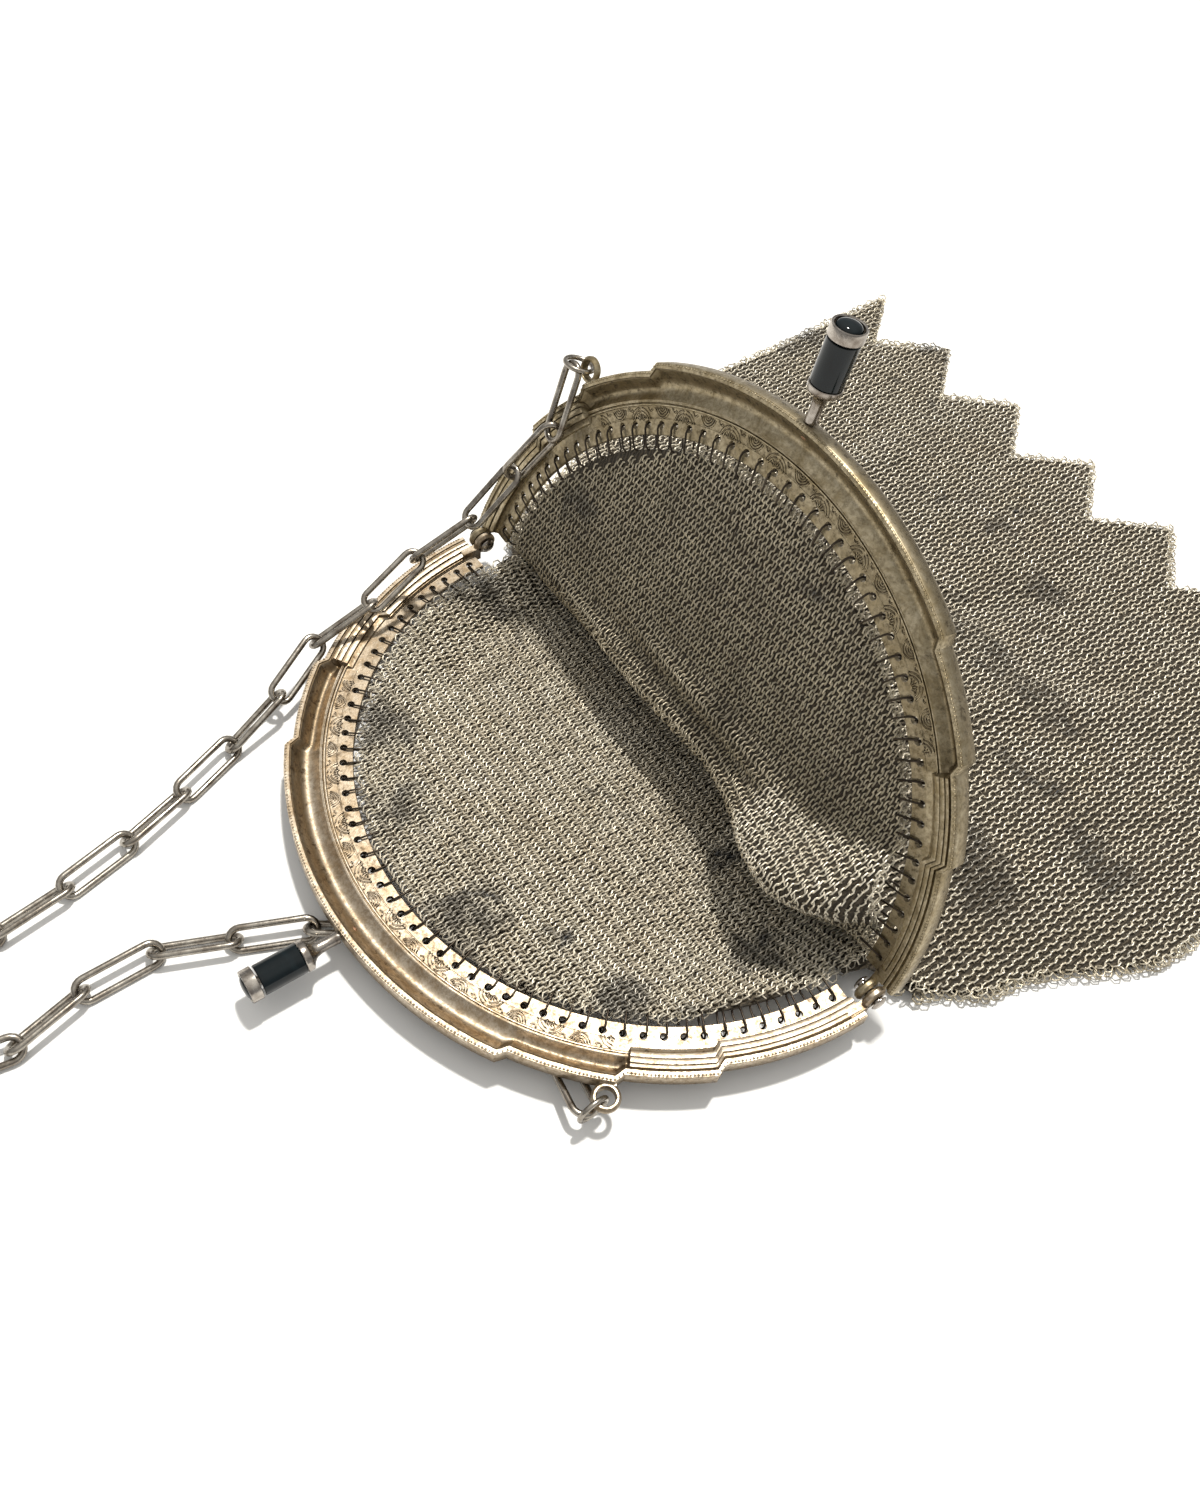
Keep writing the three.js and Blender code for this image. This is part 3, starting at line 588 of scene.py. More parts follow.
def joined(*shapes):
    points, faces, first = [], [], 0
    for shape_points, shape_faces in shapes:
        points.append(np.asarray(shape_points, float))
        faces += [tuple(first + i for i in face) for face in shape_faces]
        first += len(shape_points)
    return np.concatenate(points), faces


def moved(shape, turn=np.eye(3), by=(0, 0, 0)):
    return shape[0] @ np.asarray(turn).T + np.array(by), shape[1]


def hinge_ear(side, slot):
    start = PIN_X - 0.75 + (0.15 if slot else -1.65)
    middle = side * (start + 0.75)
    disc = moved(ring_shape(1.05, 2.3, 1.5, 28), [[0, 0, 1], [0, 1, 0], [-1, 0, 0]], (middle, 0, 0))
    tab = box_shape((middle - 0.75, -5.3, -3.3), (middle + 0.75, -1.3, -0.3))
    return joined(disc, tab)


def chain_eye():
    turn = np.array(Matrix.Rotation(math.radians(EYE_ANGLE), 3, "Z"))
    ring = moved(ring_shape(1.5, 2.4, 1.4, 28), by=(0, -EYE_CENTRE, -EYE_DEPTH))
    neck = box_shape((-1.3, -EYE_CENTRE + 1.9, -EYE_DEPTH - 0.7), (1.3, -64.4, -EYE_DEPTH + 0.7))
    return moved(joined(ring, neck), turn)


def hollow_at(points):
    """How much dirt a point of the jaw holds, from 0 on the edges to 1 in the grooves."""
    radius, height = np.hypot(points[:, 0], points[:, 1]), points[:, 2]
    angle = np.abs(np.degrees(np.arctan2(points[:, 0], -points[:, 1])))
    rim = np.array([jaw_rim(a) for a in angle])
    coved = angle < REEDS_FROM + 0.2
    cove = np.clip(1 - np.abs(radius - (rim - 2.4)) / 2.2, 0, 1) * coved * 0.8
    lines = coved * ((height < -1.6) & (radius > 59.8) & (radius < 60.0)) * 1.0
    lip = ((height < -0.25) & (height > -0.36) & (radius > rim - 1.4) & (radius < rim - 1)) * 1.0
    band = 0.42 * coved * ((radius < 59.5) & (radius > 57.3)) + 0.34 * (radius <= 57.3)
    foot = 0.8 * coved * np.exp(-((radius - 59.4) / 0.12) ** 2)
    reeds = 0.0 * height
    across = rim - LIP
    for width in [width for width, _ in REEDS] + [0]:
        reeds = np.maximum(reeds, 0.95 * (~coved) * (np.abs(radius - across + 0.05) < 0.08))
        across = across - width - REED_GROOVE
    return np.clip(np.maximum.reduce([cove, lines, lip, band, foot, reeds, (height < -2.75) * 0.8]), 0, 1)


def jaw(side, finish):
    angles = jaw_angles()
    reeded = [np.clip((abs(a) - REEDS_FROM) / REEDS_FADE, 0, 1) for a in angles]
    section = np.array([jaw_section(jaw_rim(a), share) for a, share in zip(angles, reeded)])
    count = section.shape[1]
    points = polar(section[:, :, 0], np.array(angles)[:, None], section[:, :, 1]).reshape(-1, 3)
    faces = grid_faces(len(angles), count, close_columns=True)
    faces += [tuple(range(count)), tuple(range(len(points) - count, len(points)))[::-1]]
    piece = new_piece(f"jaw_{side}_chased", points, faces, finish)
    outward(piece)
    cutter_shapes = []
    for i in range(HOLE_COUNT):
        place = polar(HOLE_RING, HOLE_SPREAD * (i / (HOLE_COUNT - 1) - 0.5), -SHEET_DEPTH)
        turn = 2 * math.pi * np.arange(12) / 12
        ring = [place + np.array([HOLE_RADIUS * math.cos(t), HOLE_RADIUS * math.sin(t), h])
                for h in (-1.2, 1.2) for t in turn]
        sides = [(j, (j + 1) % 12, 12 + (j + 1) % 12, 12 + j) for j in range(12)]
        cutter_shapes.append((np.array(ring), sides + [tuple(range(12))[::-1], tuple(range(12, 24))]))
    cutter = new_piece("holes", *joined(*cutter_shapes), None)
    outward(cutter)
    cut = piece.modifiers.new("holes", "BOOLEAN")
    cut.operation = "DIFFERENCE"
    cut.solver = "EXACT"
    cut.object = cutter
    view = bpy.context.evaluated_depsgraph_get()
    mesh = bpy.data.meshes.new_from_object(piece.evaluated_get(view))
    piece.modifiers.clear()
    bpy.data.objects.remove(cutter)
    extras = new_piece("extras", *joined(hinge_ear(1, 1), hinge_ear(-1, 0), chain_eye()), finish)
    outward(extras)
    work = bmesh.new()
    work.from_mesh(mesh)
    work.from_mesh(extras.data)
    work.to_mesh(mesh)
    work.free()
    bpy.data.objects.remove(extras)
    piece.data = mesh
    points = np.array([v.co for v in mesh.vertices])
    local = (points - HINGE) / MM
    attribute = mesh.attributes.new("hollow", "FLOAT", "POINT")
    attribute.data.foreach_set("value", hollow_at(local).astype(np.float32))
    placed = to_row(local @ JAW_TURN[side].T)
    mesh.vertices.foreach_set("co", placed.ravel())
    mesh.shade_smooth()
    mesh.set_sharp_from_angle(angle=math.radians(30))
    return ride_as(piece, JAW_SLOT[side], f"jaw_{side}")


def beads(side, finish):
    """Milled edge of the lip, as small beads."""
    ball = turned_shape([(0, -0.2), (0.15, -0.14), (0.2, 0), (0.15, 0.14), (0, 0.2)], 6)
    angles, angle = [], -JAW_END + 1
    while angle < JAW_END - 1:
        angles.append(angle)
        angle += math.degrees(0.62 / jaw_rim(angle))
    angles = np.array(angles)
    rims = np.array([jaw_rim(a) for a in angles])
    places = polar(rims - 0.36, angles, -0.02) @ JAW_TURN[side].T
    frames = np.repeat(JAW_TURN[side][None], len(places), 0)
    piece = copies(f"lip_beads_{side}", ball, places, frames, finish, 0.15, 3)
    return ride_as(piece, JAW_SLOT[side])


SCROLL_RING = 58.1
SCROLL_STEP = 10.6
SCROLL_COUNT = 9
SCROLL_WIRE = 0.11


def scroll_lines():
    """One repeat of the chased band: nested arches on the outer line and open fans between them."""
    lines = []

    def arc(x, y, radius, start, end, flat=1.0, count=9):
        t = np.radians(np.linspace(start, end, count))
        lines.append(np.stack([x + radius * np.cos(t), y + radius * flat * np.sin(t)], 1))

    for radius in (0.42, 0.8, 1.2, 1.62):
        arc(0, 1.2, radius, 190, 350, 1.12)
    for way in (-1, 1):
        for radius in (1.7, 2.25):
            arc(way * 5.3, -1.35, radius, 90 + way * 8, 90 + way * 78, 1.05)
        arc(way * 2.9, 0.95, 0.5, 200, 380, 1.0, 7)
        for lean in (12, 34, 56):
            turn = math.radians(90 + way * lean)
            t = np.linspace(0.55, 1.35, 3)
            lines.append(np.stack([way * 5.3 + t * math.cos(turn), -1.35 + t * math.sin(turn)], 1))
    return lines


def scroll_motif(offset, radius, lift):
    shapes = []
    for line in scroll_lines():
        angle = np.degrees((line[:, 0] + offset) / SCROLL_RING)
        bent = polar(SCROLL_RING + line[:, 1] + offset, angle, np.full(len(line), -BAND_DEPTH + lift))
        shapes.append(wire(bent, radius, 4, closed=False))
    return joined(*shapes)


def scrolls(side, finish):
    repeat = math.degrees(SCROLL_STEP / SCROLL_RING)
    turns = [(k - (SCROLL_COUNT - 1) / 2) * repeat for k in range(SCROLL_COUNT)]
    frames = np.array([JAW_TURN[side] @ np.array(Matrix.Rotation(math.radians(t), 3, "Z")) for t in turns])
    places = np.zeros((SCROLL_COUNT, 3))
    # The second set of lines lies just beside and below the raised ones in dark wire, as a painted shadow of
    # the chasing
    for name, offset, lift, coat in (("chased_scrolls", 0, 0.05, finish),
                                     ("scroll_hollows", 0.19, -0.04, chasing_painted_shadow)):
        motif = scroll_motif(offset, SCROLL_WIRE, lift)
        piece = copies(f"{name}_{side}", motif, places, frames, coat)
        outward(piece)
        ride_as(piece, JAW_SLOT[side])


def rivet(side, finish):
    dome = [(0, -0.6), (0.8, -0.6), (0.8, -0.05), (0.66, 0.14), (0.36, 0.24), (0, 0.27)]

    def place(points):
        return (points[:, [0, 2, 1]] + [KNOB_X, -64.4, -1.9]) @ JAW_TURN[side].T

    return ride_as(turned(f"post_rivet_{side}", dome, place, 20, finish), "silver")


# Clasp

POST = [(0, -0.6), (0.7, -0.6), (0.7, 0.25), (1.1, 0.3), (1.1, 0.6), (1.04, 0.9), (1.0, 2.4), (1.08, 3.8),
        (1.3, 4.7), (1.75, 5.2), (2.2, 5.5), (2.62, 5.75), (2.75, 6.05), (2.75, 6.8), (2.66, 6.9), (0.8, 6.9),
        (0.8, 14.7), (2.7, 14.7), (2.85, 14.8), (2.85, 16.5), (2.76, 16.68), (2.5, 16.7), (2.4, 16.6),
        (2.4, 15.7), (0, 15.7)]
BARREL = [(1.1, 7.0), (2.52, 7.0), (2.65, 7.12), (2.65, 14.28), (2.52, 14.4), (1.1, 14.4), (1.1, 7.0)]
CABOCHON = [(0, 16.0), (2.1, 16.0), (2.1, 16.45), (1.95, 16.72), (1.6, 16.95), (1.1, 17.1), (0.5, 17.19),
            (0, 17.2)]


def clasp(side):
    tilt = turn_x(180 - KNOB_LEAN[side])

    def place(points):
        return (points @ tilt.T + [KNOB_X, -TIERS[0][0], -KNOB_DEPTH]) @ JAW_TURN[side].T

    ride_as(turned(f"clasp_post_{side}_turned", POST, place, 48, silver), "silver", f"clasp_post_{side}")
    ride_as(turned(f"onyx_barrel_{side}_cut", BARREL, place, 56, onyx), "onyx", f"onyx_barrel_{side}")
    ride_as(turned(f"onyx_cabochon_{side}_cut", CABOCHON, place, 48, onyx), "onyx", f"onyx_cabochon_{side}")


def hinge_pins():
    profile = [(0, -2.75), (0.7, -2.7), (1.2, -2.5), (1.5, -2.2), (1.5, -2.1), (0.75, -2.1), (0.75, 2.1),
               (1.5, 2.1), (1.5, 2.2), (1.2, 2.5), (0.7, 2.7), (0, 2.75)]
    for name, side in (("hinge_pin_a", -1), ("hinge_pin_b", 1)):
        def place(points, side=side):
            return points[:, [1, 0, 2]] * [1, -1, 1] + [side * (PIN_X - 0.75), 0, 0]

        ride_as(turned(name + "_turned", profile, place, 24, silver), "silver", name)


# Chain: centre lines of the links, then radii of the jump rings and of their wire
LINK_LENGTH = 14.5
LINK_WIDTH = 3.9
LINK_WIRE = 0.6
JUMP_RING = (2.6, 0.45)


def wire_axes(name):
    """Middle and axes (long, cross, thin) of a flat wire loop of the frame, in millimetres."""
    points = np.array([v.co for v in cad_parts[name].data.vertices])
    points = (np.unique(np.round(points, 7), axis=0) - HINGE) / MM
    _, _, axes = np.linalg.svd(points - points.mean(0))
    if np.dot(np.cross(axes[0], axes[1]), axes[2]) < 0:
        axes[2] = -axes[2]
    return points.mean(0), axes.T


def stadium(length, width, steps):
    """Centre line of a long oval link."""
    bend = width / 2
    straight = (length - width) / 2
    route = []
    for end in (1, -1):
        for t in np.linspace(-90, 90, steps):
            a = math.radians(t)
            route.append((end * (straight + bend * math.cos(a)), end * bend * math.sin(a), 0))
    return np.array(route)


def chain():
    links = sorted(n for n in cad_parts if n.startswith("chain_link_"))
    found = [wire_axes(n) for n in links]
    places = np.array([f[0] for f in found])
    frames = np.array([f[1] for f in found])
    shape = wire(stadium(LINK_LENGTH, LINK_WIDTH, 11), LINK_WIRE, 12)
    piece = copies("chain_links_bent", shape, places, frames, chain_wire)
    outward(piece)
    ride_as(piece, "chain", *links)
    rings = ["jump_ring_lower", "jump_ring_upper"]
    found = [wire_axes(n) for n in rings]
    shape = wire(circle(JUMP_RING[0], 28), JUMP_RING[1], 12)
    piece = copies("jump_rings_bent", shape, [f[0] for f in found], [f[1] for f in found], chain_wire)
    outward(piece)
    ride_as(piece, "chain", *rings)


# Mesh surfaces

def smooth(t):
    t = np.clip(t, 0, 1)
    return t * t * (3 - 2 * t)


def side_at(share):
    share = np.clip(share, 0, 1)
    i = np.clip(np.searchsorted(BAG_SIDES[:, 0], share, side="left"), 1, len(BAG_SIDES) - 1)
    low, high = BAG_SIDES[i - 1], BAG_SIDES[i]
    mix = smooth((share - low[..., 0]) / (high[..., 0] - low[..., 0]))
    return PIN_X * (low[..., 1] + (high[..., 1] - low[..., 1]) * mix)


def hem_at(column):
    phase = (column + 1) / 2 * TOOTH_COUNT
    return BAG_LENGTH - TOOTH_DEPTH * (1 - np.abs((phase % 1) * 2 - 1))


def back_height(x, y):
    held = np.where(y < 0, DISC - np.hypot(x, y), np.maximum(DISC - np.abs(x), y))
    share = smooth((y - SAG_START) / SAG_LENGTH) * smooth(held / SAG_BESIDE)
    return -SHEET_DEPTH + (FLOOR_LEVEL + SHEET_DEPTH) * share


def bump(t):
    return np.where(np.abs(t) < 1, (1 - np.minimum(t * t, 1)) ** 2, 0)


# Folds of the front: share across and along, spread, reach and rise
FRONT_FOLDS = [(0.55, 0.2, 0.5, 0.16, 0.22), (-0.45, 0.5, 0.35, 0.1, 0.16), (0.1, 0.62, 0.6, 0.08, -0.14),
               (-0.1, 0.36, 0.5, 0.07, -0.16), (0.6, 0.78, 0.3, 0.09, 0.14)]
# Small wrinkles of the front: middle x, y, half length, half width, direction, height
WRINKLES = [(20, 50, 34, 6, 62, 1.5), (-8, 64, 40, 7, 48, -1.3), (46, 36, 26, 6, 20, 1.2),
            (38, 84, 30, 7, 66, 1.1), (-42, 84, 34, 8, 75, 1.0), (8, 96, 36, 6, 80, -0.8),
            (62, 60, 24, 6, 80, -1.0), (-30, 40, 26, 6, 30, -1.0)]


def fullness(column, share):
    crown = np.maximum(0, 1 - np.abs(column) ** 3.2)
    height = (FULLNESS + (HEM_FULLNESS - FULLNESS) * smooth((share - 0.2) / 0.5)) * crown
    for across, along, spread, reach, rise in FRONT_FOLDS:
        at = bump((column - across) / spread) * bump((share - along) / reach)
        height = height + FULLNESS * rise * at * crown * smooth((0.86 - share) / 0.1)
    return np.maximum(height, HEM_FULLNESS * 0.35)


def front_height(x, y):
    """Middle of the front sheet over a place of the bag."""
    share = np.maximum(y, 0) / BAG_LENGTH
    column = np.clip(x / side_at(share), -1, 1)
    height = back_height(x, y) + SHEET + fullness(column, share)
    for mx, my, length, width, direction, rise in WRINKLES:
        a = math.radians(direction)
        along = (x - mx) * math.cos(a) + (y - my) * math.sin(a)
        across = -(x - mx) * math.sin(a) + (y - my) * math.cos(a) + 3 * np.sin(along / 9 + mx)
        at = bump(along / length) * bump(across / width)
        height = height + rise * at * smooth((1 - np.abs(column)) / 0.15)
    return height


FOLD_LEVEL = FLOOR_LEVEL + SHEET + FULLNESS
FOLD_TOP = (FOLD_LEVEL + FOLD_RADIUS + INWARD[2] * (SHEET_DEPTH + FOLD_RADIUS)) / UP[2]
FOLD_CENTRE = UP * FOLD_TOP - INWARD * (SHEET_DEPTH + FOLD_RADIUS)
FOLD_LENGTH = math.radians(OPENING) * FOLD_RADIUS
ROLL_OUT = 7.6
# Pleats above the fold: distance up, half height, how far out, middle and half length along X
PLEATS = [(0.2, 0.9, 0.75, -0.1, 0.75), (2.0, 0.9, 0.55, 0.15, 0.6), (0.6, 1.7, 1.1, 0.6, 0.28)]


def roll(x, rise):
    """How far the sheet rolls out over the lower disc near the second hinge."""
    middle = 3.5 + 0.62 * np.maximum(x - 33, 0)
    reach = np.where(rise > middle, 13.0, 9.0)
    return ROLL_OUT * smooth((x - 8) / 26) * smooth((55 - x) / 9) * bump((rise - middle) / reach)


def upper_disc(x, rise):
    out = -SHEET_DEPTH + roll(x, rise)
    for up, height, stand, middle, reach in PLEATS:
        level = bump(((rise - FOLD_TOP) / FOLD_RADIUS - up) / height)
        out = out + FOLD_RADIUS * stand * level * bump((x / PIN_X - middle) / reach)
    return x[..., None] * np.array([1.0, 0, 0]) + rise[..., None] * UP + out[..., None] * INWARD


def fold(x, turn):
    angle = np.radians(270 - OPENING * (1 - turn))
    drop = (FOLD_LEVEL - front_height(x, np.full_like(x, FOLD_CENTRE[1]))) * turn
    out = roll(x, np.full_like(x, FOLD_TOP)) * (1 - smooth(turn))
    return np.stack([x, FOLD_CENTRE[1] + FOLD_RADIUS * np.cos(angle) + out * INWARD[1],
                     FOLD_CENTRE[2] + FOLD_RADIUS * np.sin(angle) - drop + out * (INWARD[2] - 0.35)], -1)


def front_sheet(x, s):
    """The front sheet by x and the way s from the foot of the upper disc: up it below zero,
    round the fold, then along the bag."""
    turn = np.clip(s / FOLD_LENGTH, 0, 1)
    y = FOLD_CENTRE[1] + np.maximum(s - FOLD_LENGTH, 0)
    body = np.stack([x, y, front_height(x, y)], -1)
    up = upper_disc(x, FOLD_TOP - np.minimum(s, 0))
    return np.where((s <= 0)[..., None], up, np.where((s < FOLD_LENGTH)[..., None], fold(x, turn), body))


def back_sheet(x, y):
    return np.stack([x, y, back_height(x, y)], -1)


def axes_on(sheet, x, s):
    """Along s, across and normal of a sheet at its points."""
    step = 0.25
    along = sheet(x, s + step) - sheet(x, s - step)
    across = sheet(x + step, s) - sheet(x - step, s)
    along /= np.linalg.norm(along, axis=-1)[..., None]
    across -= along * np.sum(along * across, -1)[..., None]
    across /= np.linalg.norm(across, axis=-1)[..., None]
    return along, across, np.cross(across, along)


# Linked rings of the mesh

RING_RADIUS = 0.98
RING_WIRE = 0.175
RING_TILT = 50
# Pitch along a row and step between rows
DISC_ROWS = (2.2, 0.48)
FRONT_ROWS = (2.4, 0.65)
DISC_REACH = 54
LOWER_REACH = 53.7
UPPER_REACH = 53.4
LOWER_LIFT = 0.42
SIZE_SPREAD = 0.05
EDGE_COUNT = 13
EDGE_LEVELS = (FLOOR_LEVEL + 0.35, FLOOR_LEVEL + 1.6)
# Unevenness of the rings: shares of step and pitch, degrees of tilt and radians of twist
ACROSS_SPREAD = 0.12
ALONG_SPREAD = 0.035
TILT_SPREAD = 7
TWIST_SPREAD = 0.12
RING = wire(circle(RING_RADIUS, 6), RING_WIRE, 3)


def ring_rows(sheet, width, start, end, keep, pitch, step, seed, lift=0.0):
    """Places and frames of rings in rows that run along the bag, leaning in turns."""
    rng = np.random.default_rng(seed)
    way = np.linspace(start, end, int((end - start) * 3))
    xs, ways, leans = [], [], []
    for row in range(math.ceil(-width / step), math.floor(width / step) + 1):
        route = sheet(np.full_like(way, row * step), way)
        length = np.concatenate([[0], np.cumsum(np.linalg.norm(np.diff(route, axis=0), axis=1))])
        at = np.interp(np.arange(row % 2 / 2, length[-1] / pitch) * pitch, length, way)
        xs.append(np.full_like(at, row * step))
        ways.append(at)
        leans.append(np.full_like(at, 1.0 if row % 2 else -1.0))
    x, s, lean = np.concatenate(xs), np.concatenate(ways), np.concatenate(leans)
    kept = keep(x, s)
    x, s, lean = x[kept], s[kept], lean[kept]
    wander = rng.normal(0, 1, (len(x), 5))
    x = x + wander[:, 0] * step * ACROSS_SPREAD
    s = s + wander[:, 1] * pitch * ALONG_SPREAD
    along, across, normal = axes_on(sheet, x, s)
    tilt = np.radians(RING_TILT + wander[:, 2] * TILT_SPREAD) * lean
    axis = normal * np.cos(tilt)[:, None] + across * np.sin(tilt)[:, None]
    twist = wander[:, 3] * TWIST_SPREAD
    first = along * np.cos(twist)[:, None] + np.cross(axis, along) * np.sin(twist)[:, None]
    frames = np.stack([first, np.cross(axis, first), axis], -1)
    return sheet(x, s) + normal * lift, frames


def mesh_rings():
    def in_lower(x, s):
        angle = np.degrees(np.arctan2(x, -s))
        return np.hypot(x, np.minimum(s, 0)) < LOWER_REACH - 2.2 * bump((angle - 72) / 16)

    def in_upper(x, s):
        rise = FOLD_TOP - s
        angle = np.degrees(np.arctan2(x, rise))
        return (np.hypot(x, rise) < UPPER_REACH - 2.8 * bump((angle + 44) / 30)) | (s > 0)

    def add(name, mine, coat, seed):
        piece = copies(name, RING, places[mine], frames[mine], coat, SIZE_SPREAD, seed)
        ride_as(piece, "ring_mesh")

    places, frames = ring_rows(back_sheet, DISC_REACH, -DISC_REACH, 9, in_lower, *DISC_ROWS, 5, LOWER_LIFT)
    left = places[:, 0] < -13
    add("rings_lower_a", left, ring_wire, 7)
    add("rings_lower_b", ~left, ring_wire, 7)
    start = FOLD_TOP - DISC_REACH
    places, frames = ring_rows(front_sheet, DISC_REACH, start, FOLD_LENGTH, in_upper, *DISC_ROWS, 6)
    # The roll beside the second hinge catches the light, so it keeps the bright ring wire; the rest of the
    # upper disc takes the darker ring wire as painted shade
    x, rise, stand = places[:, 0], places @ UP, places @ INWARD + SHEET_DEPTH
    lit = (x > 24) & (rise > FOLD_TOP - 1) & (stand > 1.6)
    add("rings_upper_a", x < -5, ring_wire_in_painted_shade, 8)
    add("rings_upper_b", (x >= -5) & ~lit, ring_wire_in_painted_shade, 8)
    add("rings_upper_roll", lit, ring_wire, 8)

    def in_body(x, s):
        y = FOLD_CENTRE[1] + s - FOLD_LENGTH
        half = side_at(y / BAG_LENGTH)
        return (np.abs(x) < half - 0.6) & (y < hem_at(np.clip(x / half, -1, 1)) - 0.8)

    end = FOLD_LENGTH + BAG_LENGTH - FOLD_CENTRE[1]
    places, frames = ring_rows(front_sheet, 86, FOLD_LENGTH, end, in_body, *FRONT_ROWS, 9)
    order = np.argsort(places[:, 1], kind="stable")
    for part, mine in zip("abc", np.array_split(order, 3)):
        add(f"rings_front_{part}", mine, ring_wire, 10)


def edge_rings():
    """Loose rings along the toothed hem and the sides, in two layers that lie flatter than the rest."""
    rng = np.random.default_rng(21)
    places, frames = [], []

    def add(points, level):
        for point in points:
            tilt = np.clip(rng.normal(0, 0.3, 2), -0.55, 0.55)
            axis = np.array([tilt[0], tilt[1], 1.0])
            axis /= np.linalg.norm(axis)
            first = np.cross([0, 1.0, 0], axis)
            first /= np.linalg.norm(first)
            places.append([point[0] + rng.normal(0, 0.15), point[1] + rng.normal(0, 0.15), level])
            frames.append(np.stack([first, np.cross(axis, first), axis], -1))

    hem_x = np.linspace(-1, 1, TOOTH_COUNT * 2 + 1) * side_at(1.0)
    hem_y = hem_at(np.linspace(-1, 1, TOOTH_COUNT * 2 + 1))
    for level in EDGE_LEVELS:
        for k in range(len(hem_x) - 1):
            t = (np.arange(EDGE_COUNT) + (0.5 if level == EDGE_LEVELS[1] else 0)) / EDGE_COUNT
            across = hem_x[k] + (hem_x[k + 1] - hem_x[k]) * t
            add(zip(across, hem_y[k] + (hem_y[k + 1] - hem_y[k]) * t - 0.5), level)
        for side in (-1, 1):
            y = np.arange(8, BAG_LENGTH - 1, 1.7)
            add(zip(side * (side_at(y / BAG_LENGTH) - 0.7), y), level)
    # The edge rings take the darker ring wire as painted shade
    piece = copies("rings_edge", RING, np.array(places), np.array(frames), ring_wire_in_painted_shade, 0.08, 11)
    return ride_as(piece, "ring_mesh")


# Rings that tie the mesh to a jaw: lean from upright and its spread are in degrees
TIE_LENGTH = 4.7
TIE_WIDTH = 2.0
TIE_WIRE = 0.19
TIE_LEAN = 28
TIE_SWAY = 14


def hanging_rings(side):
    """Long rings that tie the mesh through the holes of a jaw."""
    rng = np.random.default_rng(31 if side == "lower" else 32)
    route = stadium(TIE_LENGTH, TIE_WIDTH, 6)
    angles = HOLE_SPREAD * (np.arange(HOLE_COUNT) / (HOLE_COUNT - 1) - 0.5)
    places, frames = [], []
    for angle in angles:
        radial = polar(1.0, angle + rng.normal(0, 2.5), 0)
        radial = radial / np.linalg.norm(radial)
        lean = math.radians(rng.normal(0, TIE_SWAY) + TIE_LEAN)
        up = np.array([0, 0, 1.0])
        beside = np.cross(up, radial)
        cross = up * math.cos(lean) + beside * math.sin(lean)
        place = polar(HOLE_RING + 0.25, angle, -SHEET_DEPTH) - radial * TIE_LENGTH / 2
        places.append(place)
        frames.append(np.stack([radial, cross, np.cross(radial, cross)], -1))
    places = np.array(places) @ JAW_TURN[side].T
    frames = JAW_TURN[side] @ np.array(frames)
    piece = copies(f"hanging_rings_{side}", wire(route, TIE_WIRE, 5), places, frames, dark_wire, 0.06, 12)
    return ride_as(piece, "ring_mesh")


def slab(name, sheet_points, normals, thick, finish):
    """A closed thin sheet through a net of points (rows, columns, 3)."""
    rows, columns = sheet_points.shape[:2]
    top = (sheet_points + normals * thick / 2).reshape(-1, 3)
    low = (sheet_points - normals * thick / 2).reshape(-1, 3)
    count = rows * columns
    faces = grid_faces(rows, columns) + grid_faces(rows, columns, count, flip=True)
    border = list(range(columns)) + [i * columns + columns - 1 for i in range(1, rows)]
    border += [(rows - 1) * columns + j for j in range(columns - 2, -1, -1)]
    border += [i * columns for i in range(rows - 2, 0, -1)]
    for a, b in zip(border, border[1:] + border[:1]):
        faces.append((a, b, count + b, count + a))
    piece = new_piece(name, np.concatenate([top, low]), faces, finish)
    outward(piece, 60)
    return piece


def mesh_depths():
    """Dark sheets inside the rings, which stand for the wires of the far side and paint the shade in the gaps
    between the upper rings.
    """
    columns = np.linspace(-1, 1, 85)
    down = np.linspace(0, 1, 30)
    disc = 52.2
    inset = 1.5
    x0 = disc * np.sin(np.radians(80 * columns))
    chord = np.sqrt(disc ** 2 - x0 ** 2)

    def body_x(y):
        share = y / BAG_LENGTH
        half = side_at(share) - inset * smooth(y / 12)
        mouth = x0 / x0[-1]
        return half * (mouth + (columns - mouth) * smooth(share / 0.25))

    def body_rows(first):
        rows = []
        for d in down:
            y = first + (hem_at(columns) - inset * 1.4 - first) * d
            rows.append((body_x(y), y))
        return rows

    rows = [(x0, -chord * (1 - t)) for t in np.linspace(0, 1, 24)[:-1]] + body_rows(0.0)
    x = np.array([r[0] for r in rows])
    y = np.array([r[1] for r in rows])
    normals = axes_on(back_sheet, x, y)[2]
    piece = slab("mesh_depth_back", back_sheet(x, y) + normals * -0.15, normals, 0.5, mesh_depth_shade)
    ride_as(piece, "ring_mesh", "mesh_bag")
    rows = [(x0, FOLD_TOP - np.maximum(chord * (1 - t) + FOLD_TOP * t, FOLD_TOP))
            for t in np.linspace(0, 1, 24)[:-1]]
    rows += [(x0, np.full_like(x0, s)) for s in np.linspace(0, FOLD_LENGTH, 7)[:-1]]
    rows += [(bx, FOLD_LENGTH + by - FOLD_CENTRE[1]) for bx, by in body_rows(FOLD_CENTRE[1])]
    x = np.array([r[0] for r in rows])
    s = np.array([r[1] for r in rows])
    normals = axes_on(front_sheet, x, s)[2]
    piece = slab("mesh_depth_front", front_sheet(x, s) + normals * -0.15, normals, 0.5, mesh_depth_shade)
    ride_as(piece, "ring_mesh")


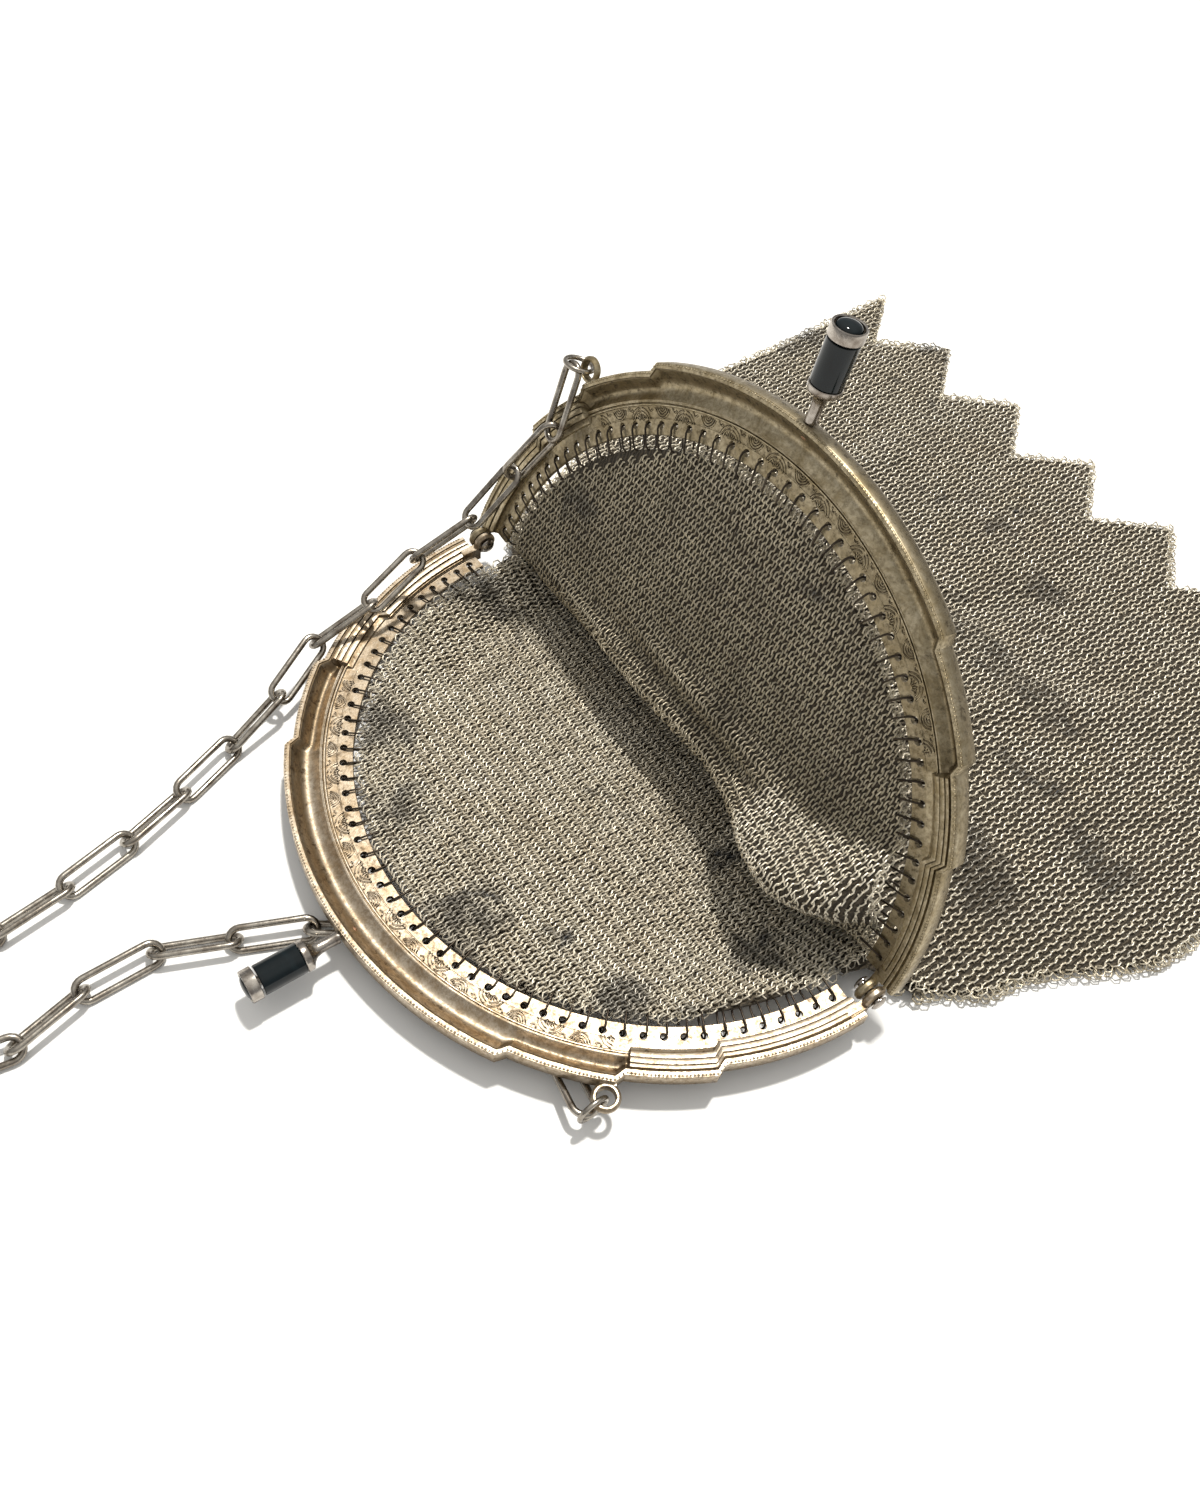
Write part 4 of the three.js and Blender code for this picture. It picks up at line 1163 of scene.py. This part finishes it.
for side, plate in (("lower", plate_in_light), ("upper", plate_in_painted_shade)):
    jaw(side, plate)
    beads(side, plate)
    scrolls(side, plate)
    rivet(side, rivet_brown)
    clasp(side)
    hanging_rings(side)
hinge_pins()
chain()
mesh_depths()
mesh_rings()
edge_rings()


# Floor, light and camera
SUN_TOWARD = (-0.448, 0.717, 0)
SUN_ELEVATION = 70
SUN_WIDTH = 4
SUN_STRENGTH = 3.2
DOME_STRENGTH = 0.85
TABLE_HALF = 3.0
# Fitted to the photo: place in millimetres, directions of its right and up, focal length in its pixels
CAMERA_PLACE = (93.6, -98.7, 185.8)
CAMERA_RIGHT = (0.5759, 0.8130, 0.0878)
CAMERA_UP = (-0.6972, 0.4318, 0.5724)
FOCAL_PIXELS = 1251.7
PHOTO_HEIGHT = 1499
SENSOR = 36


def floor():
    material, tree, shader = finish_tree("white table", 0.0)
    white = ramp(tree, noise(tree, 60, 2, 0.5), (0.3, (0.86, 0.86, 0.85)), (0.7, (0.88, 0.88, 0.87)))
    link_to(tree, shader, Base_Color=white)
    shader.inputs["Roughness"].default_value = 0.6
    mesh = bpy.data.meshes.new("table")
    corners = [(x * TABLE_HALF, y * TABLE_HALF, 0) for x, y in ((-1, -1), (1, -1), (1, 1), (-1, 1))]
    mesh.from_pydata(corners, [], [(0, 1, 2, 3)])
    mesh.materials.append(material)
    table = bpy.data.objects.new("table", mesh)
    bpy.context.scene.collection.objects.link(table)


def lights():
    world = bpy.data.worlds.new("pale studio")
    world.use_nodes = True
    tree = world.node_tree
    toward = Vector(SUN_TOWARD).normalized()
    height = node(tree, "SeparateXYZ", {"Vector": node(tree, "TexCoord").outputs["Generated"]}).outputs["Z"]
    dome = ramp(tree, height, (0.0, (0.4, 0.4, 0.405)), (0.4, (0.46, 0.46, 0.46)), (0.85, (1.0, 0.98, 0.94)))
    tree.links.new(dome, tree.nodes["Background"].inputs["Color"])
    tree.nodes["Background"].inputs["Strength"].default_value = DOME_STRENGTH
    bpy.context.scene.world = world
    elevation = math.radians(SUN_ELEVATION)
    direction = Vector((toward.x * math.cos(elevation), toward.y * math.cos(elevation), math.sin(elevation)))
    lamp = bpy.data.lights.new("window", "SUN")
    lamp.energy = SUN_STRENGTH
    lamp.angle = math.radians(SUN_WIDTH)
    lamp.color = (1.0, 0.97, 0.92)
    sun = bpy.data.objects.new("window", lamp)
    sun.rotation_euler = direction.to_track_quat("Z", "Y").to_euler()
    bpy.context.scene.collection.objects.link(sun)


def camera():
    right = Vector(CAMERA_RIGHT)
    up = Vector(CAMERA_UP)
    forward = right.cross(up) * -1
    data = bpy.data.cameras.new("camera")
    data.sensor_width = SENSOR
    data.lens = SENSOR * FOCAL_PIXELS / PHOTO_HEIGHT
    data.clip_start = 0.01
    eye = bpy.data.objects.new("camera", data)
    bpy.context.scene.collection.objects.link(eye)
    turn = Matrix((right.normalized(), up.normalized(), -forward.normalized())).transposed()
    eye.matrix_world = Matrix.Translation(Vector(to_row(CAMERA_PLACE))) @ turn.to_4x4()
    bpy.context.scene.camera = eye


bpy.context.scene.view_settings.view_transform = "Standard"
floor()
lights()
camera()
